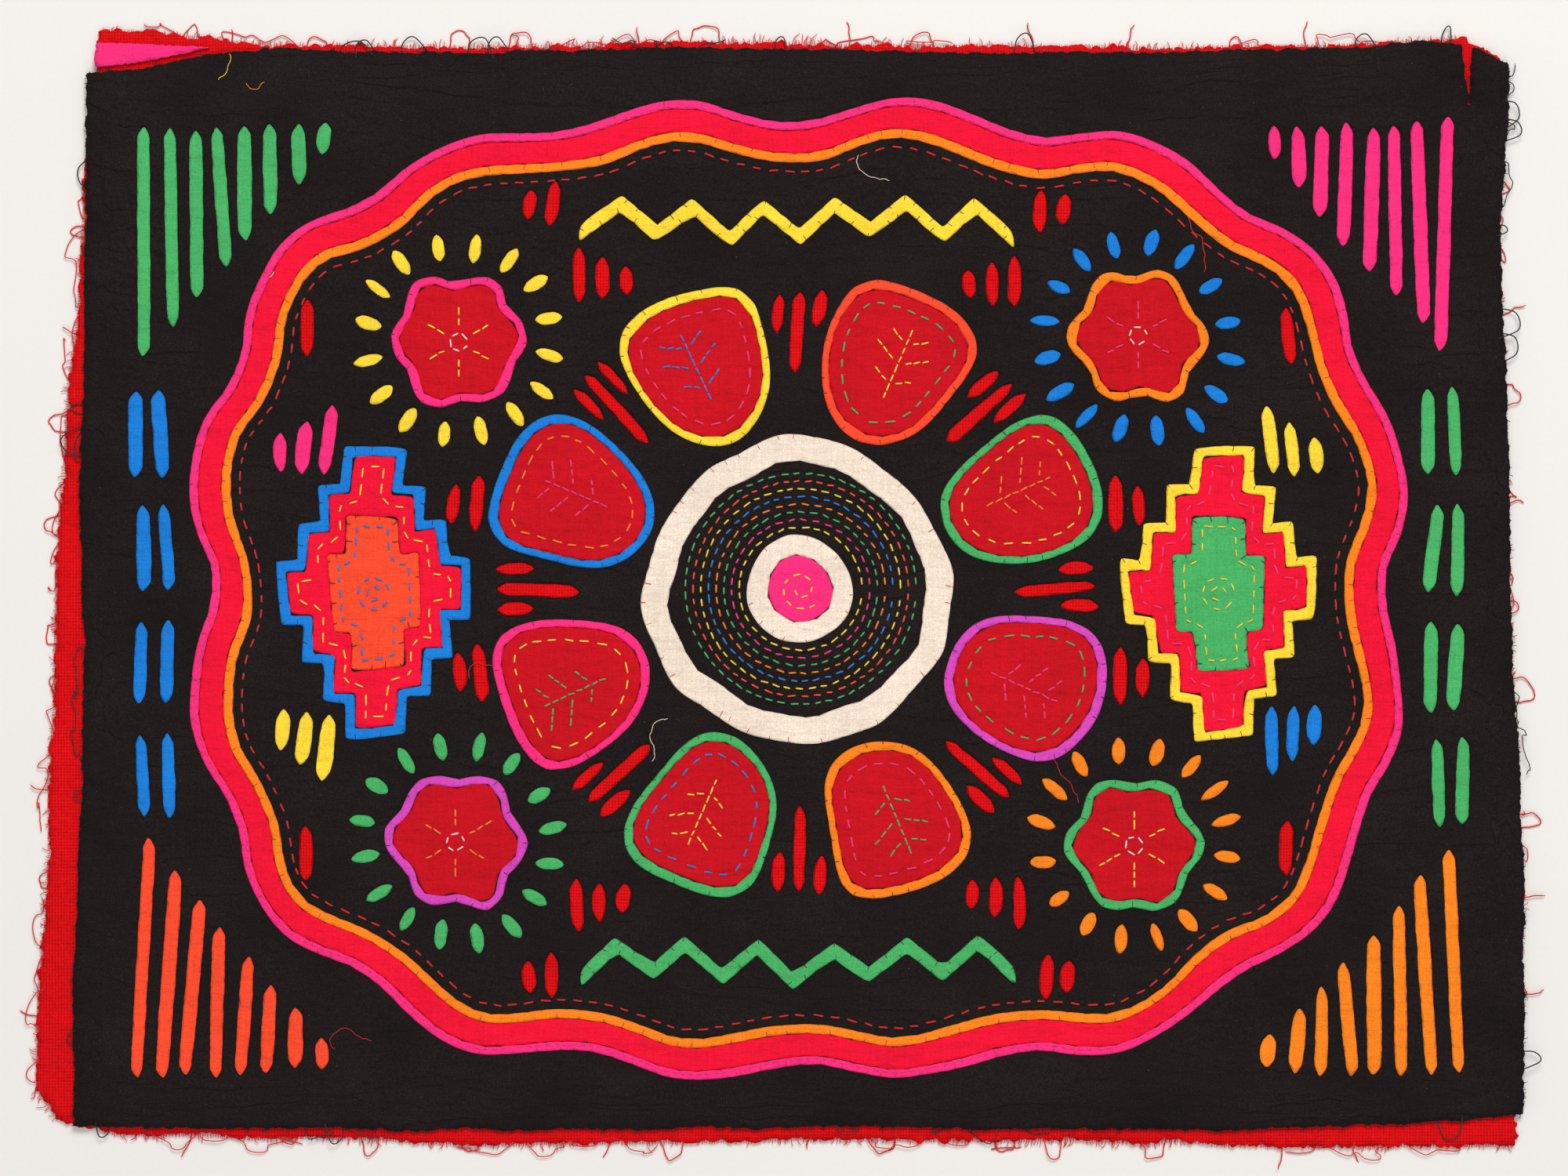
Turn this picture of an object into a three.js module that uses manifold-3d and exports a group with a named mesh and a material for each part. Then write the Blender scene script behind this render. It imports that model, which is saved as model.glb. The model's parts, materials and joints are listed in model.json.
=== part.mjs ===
// A layered cotton textile panel in reverse and surface applique, lying flat with its face up.
// A red base cloth carries coloured inlay patches; a black ground cloth covers them and is cut
// with slits that let the colours through; edged applique pieces are sewn on top of the ground.
// Millimetres, +Z up. The origin is at the middle of the underside, +Y is the panel's top edge.
import * as THREE from "three";
import { mergeVertices } from "three/addons/utils/BufferGeometryUtils.js";
import Module from "manifold-3d";

const wasm = await Module();
wasm.setup();

// Driving dimensions
const SHEET = 1.0; // thickness of one cloth
const GAP = 0.3; // clearance between neighbouring cloths
const BASE_Z = 0;
const PATCH_Z = BASE_Z + SHEET + GAP;
const GROUND_Z = PATCH_Z + SHEET + GAP;
const APPLIQUE_Z = GROUND_Z + SHEET + GAP;
const RIM_Z = PATCH_Z; // the ground's raw rim drops on to the base cloth
const RIM_WIDTH = 9;
const EDGE_STEP = 14; // spacing of points along the raw edges
const EDGE_WAVE = 0.45; // unevenness of a raw edge
const BASE_SALT = 1; // these two pick the pattern of the unevenness
const GROUND_SALT = 20;
const SLIT_WIDTH = 3.5;
const SLIT_SHOULDER = 3; // length over which a slit opens from its pointed end to its full width
const PATCH_MARGIN = 3;
const CENTRE = { x: 4, y: -1 }; // middle of the design on the cloth

const HAND_WAVES = [
  // how far the hand-cut lines wander, over what length
  { reach: 1.0, length: 83, turn: 0.6 },
  { reach: 0.45, length: 31, turn: 2.1 },
];

// Cloth colours
const COLOUR = {
  black: 0x201a19,
  red: 0xd20d15,
  crimson: 0xeb1632,
  garnet: 0xc31420,
  pink: 0xfb2d79,
  orange: 0xfc851e,
  coral: 0xfb4c2d,
  yellow: 0xfdda3b,
  green: 0x48b262,
  blue: 0x187dd8,
  purple: 0xd746b9,
  cream: 0xf2e0cd,
};

// Raw outlines, one table for each side, corner to corner, clockwise from the top left
const BASE_SIDES = {
  top: [
    { x: -195.8, y: 159.8 },
    { x: -172, y: 158.2 },
    { x: -150, y: 155.7 },
    { x: -90, y: 154.8 },
    { x: -31, y: 156.2 },
    { x: 79, y: 154.8 },
    { x: 157, y: 155.3 },
    { x: 192, y: 157.3 },
    { x: 199, y: 152 },
    { x: 206, y: 151.2 },
  ],
  right: [
    { x: 206, y: 151.2 },
    { x: 204.5, y: 95 },
    { x: 206.5, y: 43 },
    { x: 207.5, y: -11 },
    { x: 210, y: -56 },
    { x: 211, y: -101 },
    { x: 209.5, y: -160 },
  ],
  bottom: [
    { x: 209.5, y: -160 },
    { x: 157, y: -160.2 },
    { x: 90, y: -158.8 },
    { x: 0, y: -158.6 },
    { x: -67, y: -159.8 },
    { x: -135, y: -158 },
    { x: -202, y: -155.6 },
    { x: -206, y: -150 },
    { x: -214, y: -144 },
  ],
  left: [
    { x: -214, y: -144 },
    { x: -213.5, y: -112 },
    { x: -211, y: -78 },
    { x: -208, y: 11 },
    { x: -205.5, y: 52 },
    { x: -202.5, y: 79 },
    { x: -200.5, y: 112 },
    { x: -195.8, y: 159.8 },
  ],
};
const GROUND_SIDES = {
  top: [
    { x: -199.8, y: 147.4 },
    { x: -184, y: 149 },
    { x: -171, y: 151.7 },
    { x: -150, y: 154.2 },
    { x: -90, y: 153.3 },
    { x: -31, y: 154.6 },
    { x: 79, y: 153.3 },
    { x: 157, y: 154.2 },
    { x: 192, y: 156.6 },
    { x: 199, y: 150.5 },
    { x: 208, y: 149.6 },
  ],
  right: [
    { x: 208, y: 149.6 },
    { x: 205.6, y: 95 },
    { x: 207.5, y: 43 },
    { x: 208.6, y: -11 },
    { x: 211, y: -56 },
    { x: 212, y: -101 },
    { x: 211.7, y: -150.8 },
  ],
  bottom: [
    { x: 211.7, y: -150.8 },
    { x: 180, y: -153.5 },
    { x: 135, y: -155.4 },
    { x: 67, y: -155.2 },
    { x: 0, y: -154.6 },
    { x: -67, y: -155.4 },
    { x: -203.6, y: -154.4 },
  ],
  left: [
    { x: -203.6, y: -154.4 },
    { x: -203, y: -101 },
    { x: -201, y: -56 },
    { x: -200.6, y: -11 },
    { x: -201.4, y: 34 },
    { x: -200.2, y: 79 },
    { x: -199.8, y: 147.4 },
  ],
};
const TEAR = { x: 195.5, top: 160, tip: 138, width: 3.6 }; // a rip in the ground's top edge
const SCRAP = [
  // cloth that shows past the torn corner
  { x: -197.5, y: 149 },
  { x: -184, y: 150.6 },
  { x: -171, y: 153.2 },
  { x: -164, y: 154.8 },
  { x: -197, y: 156.2 },
];

// Applique pieces, measured from the design's centre
const BAND = {
  halfWidth: 174,
  halfHeight: 140,
  power: 2.8,
  scallops: 16,
  dip: 8,
  softness: 0.25,
  points: 96,
  layers: [
    { name: "band_pink", colour: "pink", from: 0, to: 2.2 },
    { name: "band_crimson", colour: "crimson", from: 2.5, to: 8.8 },
    { name: "band_orange", colour: "orange", from: 9.1, to: 11.5 },
  ],
};
const HEART = { disc: 9.2, ringInner: 9.5, ringOuter: 15, points: 28 };
const COLLAR = { inner: 36, outer: 43.5, ripple: 0.5, ripples: 12, points: 48 };
const PETAL = { inner: 46.5, outer: 92, halfWidth: 25.5, flare: 0.24, edging: 2.4, points: 24 };
const PETAL_EDGES = ["green", "coral", "yellow", "blue", "pink", "green", "orange", "purple"];
const DIAMOND = {
  x: 121,
  halfWidths: [28, 21.5, 15, 8.5],
  halfHeights: [9, 20, 31, 42],
  edging: 2.5,
  coreWidths: [13, 7.5],
  coreHeights: [11, 22],
};
const DIAMONDS = [
  { name: "left", side: -1, edge: "blue", core: "coral" },
  { name: "right", side: 1, edge: "yellow", core: "green" },
];
const BLOSSOM = { x: 97, y: 72, radius: 20.5, lobes: 6, notch: 4.2, edging: 2.3, points: 30 };
const BLOSSOMS = [
  { name: "top_left", sideX: -1, sideY: 1, edge: "pink", rays: "yellow" },
  { name: "top_right", sideX: 1, sideY: 1, edge: "orange", rays: "blue" },
  { name: "low_left", sideX: -1, sideY: -1, edge: "purple", rays: "green" },
  { name: "low_right", sideX: 1, sideY: -1, edge: "green", rays: "orange" },
];
const ZIGZAG = { y: 106, halfWidth: 62, teeth: 6, height: 4.4, halfThickness: 2.2 };
const ZIGZAGS = [
  { name: "top", side: 1, colour: "yellow" },
  { name: "bottom", side: -1, colour: "green" },
];

// Slits cut in the ground cloth: parallel rows, then rays round a centre.
// A row starts at x, y; each next slit is moved by step and drop; lengths run from first to last.
// A row with columns is repeated beside itself, apart by that much.
// A coloured row has a patch of its colour under it; through the others the red base shows.
const COLOUR_ROWS = [
  { name: "corner_top_left", patch: "green",
    x: -187, y: 101, step: 7.4, drop: 3.9, count: 8, first: 66, last: 10 },
  { name: "corner_top_right", patch: "pink",
    x: 186, y: 101, step: -7.3, drop: 4, count: 8, first: 68, last: 10 },
  { name: "corner_low_left", patch: "coral",
    x: -188, y: -105, step: 7.5, drop: -4, count: 8, first: 68, last: 10 },
  { name: "corner_low_right", patch: "orange",
    x: 187, y: -106, step: -7.5, drop: -3.8, count: 8, first: 66, last: 10 },
  { name: "margin_left", patch: "blue",
    x: -188.5, y: 45, step: 0.5, drop: -33, count: 4, first: 27, last: 24, columns: 2, apart: 7.2 },
  { name: "margin_right", patch: "green",
    x: 188, y: 45, step: 0.6, drop: -33, count: 4, first: 25, last: 27, columns: 2, apart: -7.2 },
  { name: "inner_top_left", patch: "pink",
    x: -147.2, y: 39, step: 6.3, drop: 2.6, count: 3, first: 12, last: 20 },
  { name: "inner_top_right", patch: "yellow",
    x: 147.2, y: 39, step: -6.3, drop: 2.6, count: 3, first: 12, last: 20 },
  { name: "inner_low_left", patch: "yellow",
    x: -147.2, y: -39, step: 6.3, drop: -2.6, count: 3, first: 12, last: 20 },
  { name: "inner_low_right", patch: "blue",
    x: 147.2, y: -39, step: -6.3, drop: -2.6, count: 3, first: 12, last: 20 },
];
const RED_ROWS = [
  { x: -62, y: 90, step: 6.6, drop: -1, count: 3, first: 16, last: 9 },
  { x: 62, y: 90, step: -6.6, drop: -1, count: 3, first: 16, last: 9 },
  { x: -62, y: -90, step: 6.6, drop: 1, count: 3, first: 16, last: 9 },
  { x: 62, y: -90, step: -6.6, drop: 1, count: 3, first: 16, last: 9 },
  { x: -77, y: 110, step: 6.4, drop: 0, count: 2, first: 10, last: 14 },
  { x: 77, y: 110, step: -6.4, drop: 0, count: 2, first: 10, last: 14 },
  { x: -77, y: -110, step: 6.4, drop: 0, count: 2, first: 10, last: 14 },
  { x: 77, y: -110, step: -6.4, drop: 0, count: 2, first: 10, last: 14 },
  { x: -98, y: 24, step: 6.4, drop: 0, count: 2, first: 12, last: 17 },
  { x: 98, y: 24, step: -6.4, drop: 0, count: 2, first: 12, last: 17 },
  { x: -98, y: -24, step: 6.4, drop: 0, count: 2, first: 12, last: 17 },
  { x: 98, y: -24, step: -6.4, drop: 0, count: 2, first: 12, last: 17 },
  { x: -141, y: 74, step: 282, drop: 0, count: 2, first: 17, last: 17 },
  { x: -141, y: -74, step: 282, drop: 0, count: 2, first: 17, last: 17 },
];
const RAYS = { inner: 22.8, outer: 31.6, count: 16, width: 3.1, patchRadius: 34 };
const WEDGE = { inner: 61, outer: 86, side: 5.6, sideInner: 74, sideOuter: 86, width: 3.3 };
const SLIT_LEAN = 0.045; // how far a hand-cut slit leans, in radians
const SLIT_UNEVEN = 0.35; // and how far its size and place are out
const RED_SALT = 20; // these three pick the pattern of the unevenness
const RAY_SALT = 40;
const WEDGE_SALT = 60;

// Frayed threads along the raw edges of the base cloth
const FRAY = {
  strip: 1.6,
  thread: 0.8,
  every: 2, // edge points from one thread to the next
  least: 3,
  most: 7.5,
  root: 1.1,
  spread: 9,
  looseShare: 0.4, // the rest are loops
};

// A repeatable value from 0 to 1 for row i of a list
function scatter(i, salt) {
  const value = Math.sin(i * 12.9898 + salt * 78.233) * 43758.5453;
  return value - Math.floor(value);
}

function turned(point, angle) {
  return new THREE.Vector2(point.x, point.y).rotateAround(new THREE.Vector2(), angle);
}

function placed(points, x, y) {
  return points.map((point) => new THREE.Vector2(point.x + x, point.y + y));
}

// Bends the lines of the design a little, the same way for neighbouring pieces
function byHand(points) {
  return points.map(({ x, y }) => {
    const bent = new THREE.Vector2(x, y);
    HAND_WAVES.forEach(({ reach, length, turn }) => {
      bent.x += reach * Math.sin((2 * Math.PI * (y + 0.4 * x)) / length + turn);
      bent.y += reach * Math.cos((2 * Math.PI * (x - 0.3 * y)) / length + turn);
    });
    return bent;
  });
}

function shapeOf(outline, holes = []) {
  const shape = new THREE.Shape(outline);
  shape.holes = holes.map((hole) => new THREE.Path(hole));
  return shape;
}

function flatSheet(outline, z, holes = []) {
  const options = { depth: SHEET, bevelEnabled: false, curveSegments: 1 };
  return new THREE.ExtrudeGeometry(shapeOf(outline, holes), options).translate(0, 0, z);
}

function appliqueSheet(outline, holes = []) {
  return flatSheet(byHand(outline), APPLIQUE_Z, holes.map(byHand));
}

function clothMesh(name, colour, geometry) {
  const material = new THREE.MeshStandardMaterial({ color: COLOUR[colour], roughness: 0.9, metalness: 0 });
  const mesh = new THREE.Mesh(geometry, material);
  mesh.name = name;
  return mesh;
}

// Boolean joins and cuts
function solidOf(geometry) {
  const bare = geometry.clone().deleteAttribute("normal").deleteAttribute("uv");
  const merged = mergeVertices(bare, 1e-4);
  const vertProperties = new Float32Array(merged.attributes.position.array);
  const triVerts = new Uint32Array(merged.index.array);
  return new wasm.Manifold(new wasm.Mesh({ numProp: 3, vertProperties, triVerts }));
}

function geometryOf(solid) {
  const made = solid.getMesh();
  const geometry = new THREE.BufferGeometry();
  geometry.setAttribute("position", new THREE.BufferAttribute(new Float32Array(made.vertProperties), 3));
  geometry.setIndex(new THREE.BufferAttribute(new Uint32Array(made.triVerts), 1));
  geometry.computeVertexNormals();
  return geometry;
}

// Raw edges
function sidePoints(rows, salt) {
  const line = new THREE.SplineCurve(rows.map((row) => new THREE.Vector2(row.x, row.y)));
  const steps = Math.round(line.getLength() / EDGE_STEP);
  const points = [];
  for (let i = 0; i < steps; i++) {
    const along = line.getTangentAt(i / steps);
    const wave = i === 0 ? 0 : EDGE_WAVE * (2 * scatter(i, salt) - 1);
    points.push(line.getPointAt(i / steps).add(new THREE.Vector2(-along.y, along.x).multiplyScalar(wave)));
  }
  return points;
}

function rawOutline(sides, salt) {
  return Object.values(sides).flatMap((rows, side) => sidePoints(rows, salt + side));
}

// Moves a closed outline to the right of its travel: inwards if it is clockwise, outwards if not
function movedRight(outline, distance) {
  const count = outline.length;
  return outline.map((point, i) => {
    const along = outline[(i + 1) % count].clone().sub(outline[(i + count - 1) % count]).normalize();
    return new THREE.Vector2(point.x + along.y * distance, point.y - along.x * distance);
  });
}

// The ground cloth: flat over the patches, with a rim that slopes down all round
class ClothBuilder {
  positions = [];
  triangles = [];

  ring(points, z) {
    const first = this.positions.length / 3;
    points.forEach((point) => this.positions.push(point.x, point.y, z));
    return points.map((_, i) => first + i);
  }

  strip(a, b) {
    a.forEach((_, i) => {
      const next = (i + 1) % a.length;
      this.triangles.push(a[i], a[next], b[next], a[i], b[next], b[i]);
    });
  }

  cap(indices, faces, up) {
    faces.forEach(([i, j, k]) => {
      this.triangles.push(indices[i], indices[up ? j : k], indices[up ? k : j]);
    });
  }

  geometry() {
    const geometry = new THREE.BufferGeometry();
    geometry.setAttribute("position", new THREE.Float32BufferAttribute(this.positions, 3));
    geometry.setIndex(this.triangles);
    geometry.computeVertexNormals();
    return geometry;
  }
}

function drapedSheet(clockwiseOutline, windows) {
  const outer = [...clockwiseOutline].reverse();
  const inner = movedRight(clockwiseOutline, RIM_WIDTH).reverse();
  const holes = windows.map((hole) => (THREE.ShapeUtils.isClockWise(hole) ? hole : [...hole].reverse()));
  const faces = THREE.ShapeUtils.triangulateShape(inner, holes);
  const cloth = new ClothBuilder();
  const level = (rimZ, flatZ) => ({
    rim: cloth.ring(outer, rimZ),
    flat: cloth.ring(inner, flatZ),
    holes: holes.map((hole) => cloth.ring(hole, flatZ)),
  });
  const under = level(RIM_Z, GROUND_Z);
  const over = level(RIM_Z + SHEET, GROUND_Z + SHEET);
  cloth.cap([over.flat, ...over.holes].flat(), faces, true);
  cloth.cap([under.flat, ...under.holes].flat(), faces, false);
  cloth.strip(over.rim, over.flat);
  cloth.strip(under.flat, under.rim);
  cloth.strip(under.rim, over.rim);
  holes.forEach((_, i) => cloth.strip(under.holes[i], over.holes[i]));
  return cloth.geometry();
}

function tearPrism() {
  const half = TEAR.width / 2;
  const wedge = [
    new THREE.Vector2(TEAR.x - half, TEAR.top),
    new THREE.Vector2(TEAR.x + half / 2, TEAR.tip),
    new THREE.Vector2(TEAR.x + half, TEAR.top),
  ];
  return new THREE.ExtrudeGeometry(shapeOf(wedge), { depth: APPLIQUE_Z, bevelEnabled: false });
}

// Slits, each a little out of true
function slitOutline(slit, i, salt) {
  const uneven = (k, most) => most * (2 * scatter(i, salt + k) - 1);
  const half = slit.length / 2 + uneven(1, SLIT_UNEVEN);
  const shoulder = half - Math.min(SLIT_SHOULDER, half / 2);
  const wide = slit.width + uneven(2, SLIT_UNEVEN);
  const side = (hand) => [
    new THREE.Vector2((hand * wide) / 2, -hand * shoulder),
    new THREE.Vector2((hand * wide) / 2, hand * shoulder),
  ];
  const outline = [new THREE.Vector2(0, -half), ...side(1), new THREE.Vector2(0, half), ...side(-1)];
  const angle = slit.angle + uneven(3, SLIT_LEAN);
  const leaning = outline.map((point) => turned(point, angle));
  return placed(leaning, slit.x + uneven(4, SLIT_UNEVEN), slit.y + uneven(5, SLIT_UNEVEN));
}

function slitOutlines(slits, salt) {
  return slits.map((slit, i) => byHand(slitOutline(slit, i, salt)));
}

function rowSlits(row) {
  const { columns = 1, apart = 0 } = row;
  return Array.from({ length: row.count * columns }, (_, k) => {
    const i = k % row.count;
    const x = row.x + i * row.step + Math.floor(k / row.count) * apart;
    const length = row.first + ((row.last - row.first) * i) / (row.count - 1);
    return { x, y: row.y + i * row.drop, length, width: SLIT_WIDTH, angle: 0 };
  });
}

function radialSlit(x, y, angle, from, to, aside, width) {
  const at = turned({ x: (from + to) / 2, y: aside }, angle);
  return { x: x + at.x, y: y + at.y, length: to - from, width, angle: angle - Math.PI / 2 };
}

function raySlits(x, y) {
  return Array.from({ length: RAYS.count }, (_, i) => {
    const angle = ((i + 0.5) / RAYS.count) * 2 * Math.PI;
    return radialSlit(x, y, angle, RAYS.inner, RAYS.outer, 0, RAYS.width);
  });
}

function wedgeSlits() {
  return PETAL_EDGES.flatMap((_, i) => {
    const angle = (i / PETAL_EDGES.length) * 2 * Math.PI;
    const beside = (aside) => radialSlit(0, 0, angle, WEDGE.sideInner, WEDGE.sideOuter, aside, WEDGE.width);
    const main = radialSlit(0, 0, angle, WEDGE.inner, WEDGE.outer, 0, WEDGE.width);
    return [main, beside(WEDGE.side), beside(-WEDGE.side)];
  });
}

// Inlay patches lie between the base and the ground, one under each group of coloured slits
function hullOf(points) {
  const sorted = [...points].sort((a, b) => a.x - b.x || a.y - b.y);
  const chain = (list) => {
    const kept = [];
    list.forEach((point) => {
      while (kept.length > 1) {
        const [from, last] = kept.slice(-2);
        if (last.clone().sub(from).cross(point.clone().sub(from)) > 0) break;
        kept.pop();
      }
      kept.push(point);
    });
    return kept.slice(0, -1);
  };
  return [...chain(sorted), ...chain(sorted.reverse())];
}

function patchOutline(slits) {
  return movedRight(hullOf(slits.flat()), PATCH_MARGIN);
}

// Outlines of the applique pieces
class BandLine extends THREE.Curve {
  getPoint(t, target = new THREE.Vector2()) {
    const angle = t * 2 * Math.PI;
    const bent = (value) => Math.sign(value) * Math.abs(value) ** (2 / BAND.power);
    const x = BAND.halfWidth * bent(Math.cos(angle));
    const y = BAND.halfHeight * bent(Math.sin(angle));
    return target.set(x, y);
  }
}

function bandOutline(inset) {
  const line = new BandLine();
  line.arcLengthDivisions = 720;
  const scalloped = Array.from({ length: BAND.points }, (_, i) => {
    const share = (i + 0.5) / BAND.points;
    const along = line.getTangentAt(share);
    const swing = Math.hypot(Math.sin(Math.PI * BAND.scallops * share), BAND.softness);
    const dip = Math.max(0, BAND.dip * (1 - swing));
    return line.getPointAt(share).add(new THREE.Vector2(-along.y, along.x).multiplyScalar(dip));
  });
  return movedRight([...scalloped].reverse(), inset).reverse();
}

function circleOutline(radius, points, ripple = 0, ripples = 0) {
  return Array.from({ length: points }, (_, i) => {
    const angle = (i / points) * 2 * Math.PI;
    const reach = radius + ripple * Math.sin(ripples * angle);
    return new THREE.Vector2(reach * Math.cos(angle), reach * Math.sin(angle));
  });
}

function petalOutline(inset, angle) {
  const middle = (PETAL.inner + PETAL.outer) / 2;
  const halfLength = (PETAL.outer - PETAL.inner) / 2 - inset;
  const halfWidth = PETAL.halfWidth - inset;
  return Array.from({ length: PETAL.points }, (_, i) => {
    const turn = (i / PETAL.points) * 2 * Math.PI;
    const across = halfWidth * Math.sin(turn) * (1 - PETAL.flare + PETAL.flare * Math.cos(turn) ** 2);
    const flare = 1 + PETAL.flare * Math.cos(turn);
    return turned({ x: middle + halfLength * Math.cos(turn), y: across * flare }, angle);
  });
}

function steppedOutline(halfWidths, halfHeights, inset) {
  const quarter = [];
  halfWidths.forEach((width, i) => {
    if (i > 0) quarter.push(new THREE.Vector2(width - inset, halfHeights[i - 1] - inset));
    quarter.push(new THREE.Vector2(width - inset, halfHeights[i] - inset));
  });
  const flip = (sx, sy) => quarter.map((point) => new THREE.Vector2(point.x * sx, point.y * sy));
  return [...flip(1, 1), ...flip(-1, 1).reverse(), ...flip(-1, -1), ...flip(1, -1).reverse()];
}

function blossomOutline(inset) {
  return Array.from({ length: BLOSSOM.points }, (_, i) => {
    const angle = (i / BLOSSOM.points) * 2 * Math.PI;
    const notch = BLOSSOM.notch * (1 - Math.abs(Math.cos((BLOSSOM.lobes * angle) / 2)));
    const reach = BLOSSOM.radius - inset - notch;
    return new THREE.Vector2(reach * Math.cos(angle), reach * Math.sin(angle));
  });
}

function zigzagOutline() {
  const corners = Array.from({ length: 2 * ZIGZAG.teeth + 1 }, (_, i) => ({
    x: -ZIGZAG.halfWidth + (i * ZIGZAG.halfWidth) / ZIGZAG.teeth,
    y: i % 2 === 0 ? -ZIGZAG.height : ZIGZAG.height,
  }));
  const edge = (side) => corners.map((c) => new THREE.Vector2(c.x, c.y + side * ZIGZAG.halfThickness));
  return [...edge(-1), ...edge(1).reverse()];
}

// A piece made of an edging ring and the cloth it frames, side by side on the ground
function edgedPiece(name, edge, inner, outlineAt, edging) {
  const ring = appliqueSheet(outlineAt(0), [outlineAt(edging)]);
  const field = appliqueSheet(outlineAt(edging + GAP));
  return [clothMesh(`${name}_edging`, edge, ring), clothMesh(`${name}_cloth`, inner, field)];
}

function band() {
  return BAND.layers.map((layer) => {
    const sheet = appliqueSheet(bandOutline(layer.from), [bandOutline(layer.to)]);
    return clothMesh(layer.name, layer.colour, sheet);
  });
}

function flower() {
  const disc = appliqueSheet(circleOutline(HEART.disc, HEART.points));
  const ringHole = circleOutline(HEART.ringInner, HEART.points);
  const ring = appliqueSheet(circleOutline(HEART.ringOuter, HEART.points), [ringHole]);
  const collarHole = circleOutline(COLLAR.inner, COLLAR.points, COLLAR.ripple, COLLAR.ripples);
  const collarRim = circleOutline(COLLAR.outer, COLLAR.points, COLLAR.ripple, COLLAR.ripples);
  const collar = appliqueSheet(collarRim, [collarHole]);
  const petals = PETAL_EDGES.flatMap((edge, i) => {
    const angle = ((i + 0.5) / PETAL_EDGES.length) * 2 * Math.PI;
    const outlineAt = (inset) => petalOutline(inset, angle);
    return edgedPiece(`petal_${i + 1}`, edge, "garnet", outlineAt, PETAL.edging);
  });
  return [
    clothMesh("heart_disc", "pink", disc),
    clothMesh("heart_ring", "cream", ring),
    clothMesh("collar_ring", "cream", collar),
    ...petals,
  ];
}

function diamond(row) {
  const x = row.side * DIAMOND.x;
  const outlineAt = (inset) => placed(steppedOutline(DIAMOND.halfWidths, DIAMOND.halfHeights, inset), x, 0);
  const coreAt = (inset) => placed(steppedOutline(DIAMOND.coreWidths, DIAMOND.coreHeights, inset), x, 0);
  const edging = appliqueSheet(outlineAt(0), [outlineAt(DIAMOND.edging)]);
  const field = appliqueSheet(outlineAt(DIAMOND.edging + GAP), [coreAt(-GAP)]);
  return [
    clothMesh(`diamond_${row.name}_edging`, row.edge, edging),
    clothMesh(`diamond_${row.name}_cloth`, "crimson", field),
    clothMesh(`diamond_${row.name}_core`, row.core, appliqueSheet(coreAt(0))),
  ];
}

function blossom(row) {
  const outlineAt = (inset) => placed(blossomOutline(inset), row.sideX * BLOSSOM.x, row.sideY * BLOSSOM.y);
  return edgedPiece(`blossom_${row.name}`, row.edge, "garnet", outlineAt, BLOSSOM.edging);
}

function zigzag(row) {
  const outline = placed(zigzagOutline(), 0, row.side * ZIGZAG.y);
  return clothMesh(`zigzag_${row.name}`, row.colour, appliqueSheet(outline));
}

function clothsWithSlits() {
  const windows = [];
  const patches = [];
  COLOUR_ROWS.forEach((row, i) => {
    const slits = slitOutlines(rowSlits(row), i);
    windows.push(...slits);
    const outline = placed(patchOutline(slits), CENTRE.x, CENTRE.y);
    patches.push(clothMesh(`patch_${row.name}`, row.patch, flatSheet(outline, PATCH_Z)));
  });
  RED_ROWS.forEach((row, i) => windows.push(...slitOutlines(rowSlits(row), RED_SALT + i)));
  BLOSSOMS.forEach((row, i) => {
    const at = { x: row.sideX * BLOSSOM.x, y: row.sideY * BLOSSOM.y };
    windows.push(...slitOutlines(raySlits(at.x, at.y), RAY_SALT + i));
    const outline = placed(circleOutline(RAYS.patchRadius, HEART.points), at.x + CENTRE.x, at.y + CENTRE.y);
    patches.push(clothMesh(`patch_${row.name}_rays`, row.rays, flatSheet(outline, PATCH_Z)));
  });
  windows.push(...slitOutlines(wedgeSlits(), WEDGE_SALT));
  const placedWindows = windows.map((slit) => placed(slit, CENTRE.x, CENTRE.y));
  const whole = solidOf(drapedSheet(rawOutline(GROUND_SIDES, GROUND_SALT), placedWindows));
  const ground = geometryOf(whole.subtract(solidOf(tearPrism())));
  return [clothMesh("ground_cloth", "black", ground), ...patches];
}

function cornerScrap() {
  const outline = SCRAP.map((row) => new THREE.Vector2(row.x, row.y));
  return clothMesh("corner_scrap", "pink", flatSheet(outline, PATCH_Z));
}

// Frayed threads: loops and loose ends that lie flat beside each raw edge
function offsetLine(points, distance) {
  return points.map((point, i) => {
    const before = points[Math.max(0, i - 1)];
    const after = points[Math.min(points.length - 1, i + 1)];
    const along = after.clone().sub(before).normalize();
    return new THREE.Vector2(point.x - along.y * distance, point.y + along.x * distance);
  });
}

function ribbon(points, near, far) {
  return [...offsetLine(points, near), ...offsetLine(points, far).reverse()];
}

function threadPoints(root, along, i, salt) {
  const out = new THREE.Vector2(-along.y, along.x);
  const at = (a, o) => root.clone().addScaledVector(along, a).addScaledVector(out, o);
  const reach = FRAY.least + (FRAY.most - FRAY.least) * scatter(i, salt);
  const spread = FRAY.spread * (0.6 + 0.4 * scatter(i, salt + 1));
  if (scatter(i, salt + 2) < FRAY.looseShare) {
    const lean = spread * (scatter(i, salt + 3) - 0.5);
    return [at(0, FRAY.root), at(lean * 0.2, reach * 0.5), at(lean, reach + FRAY.root)];
  }
  return [
    at(-spread / 2, FRAY.root),
    at(-spread * 0.45, reach * 0.6),
    at(-spread * 0.1, reach),
    at(spread * 0.3, reach * 0.8),
    at(spread / 2, FRAY.root),
  ];
}

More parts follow.
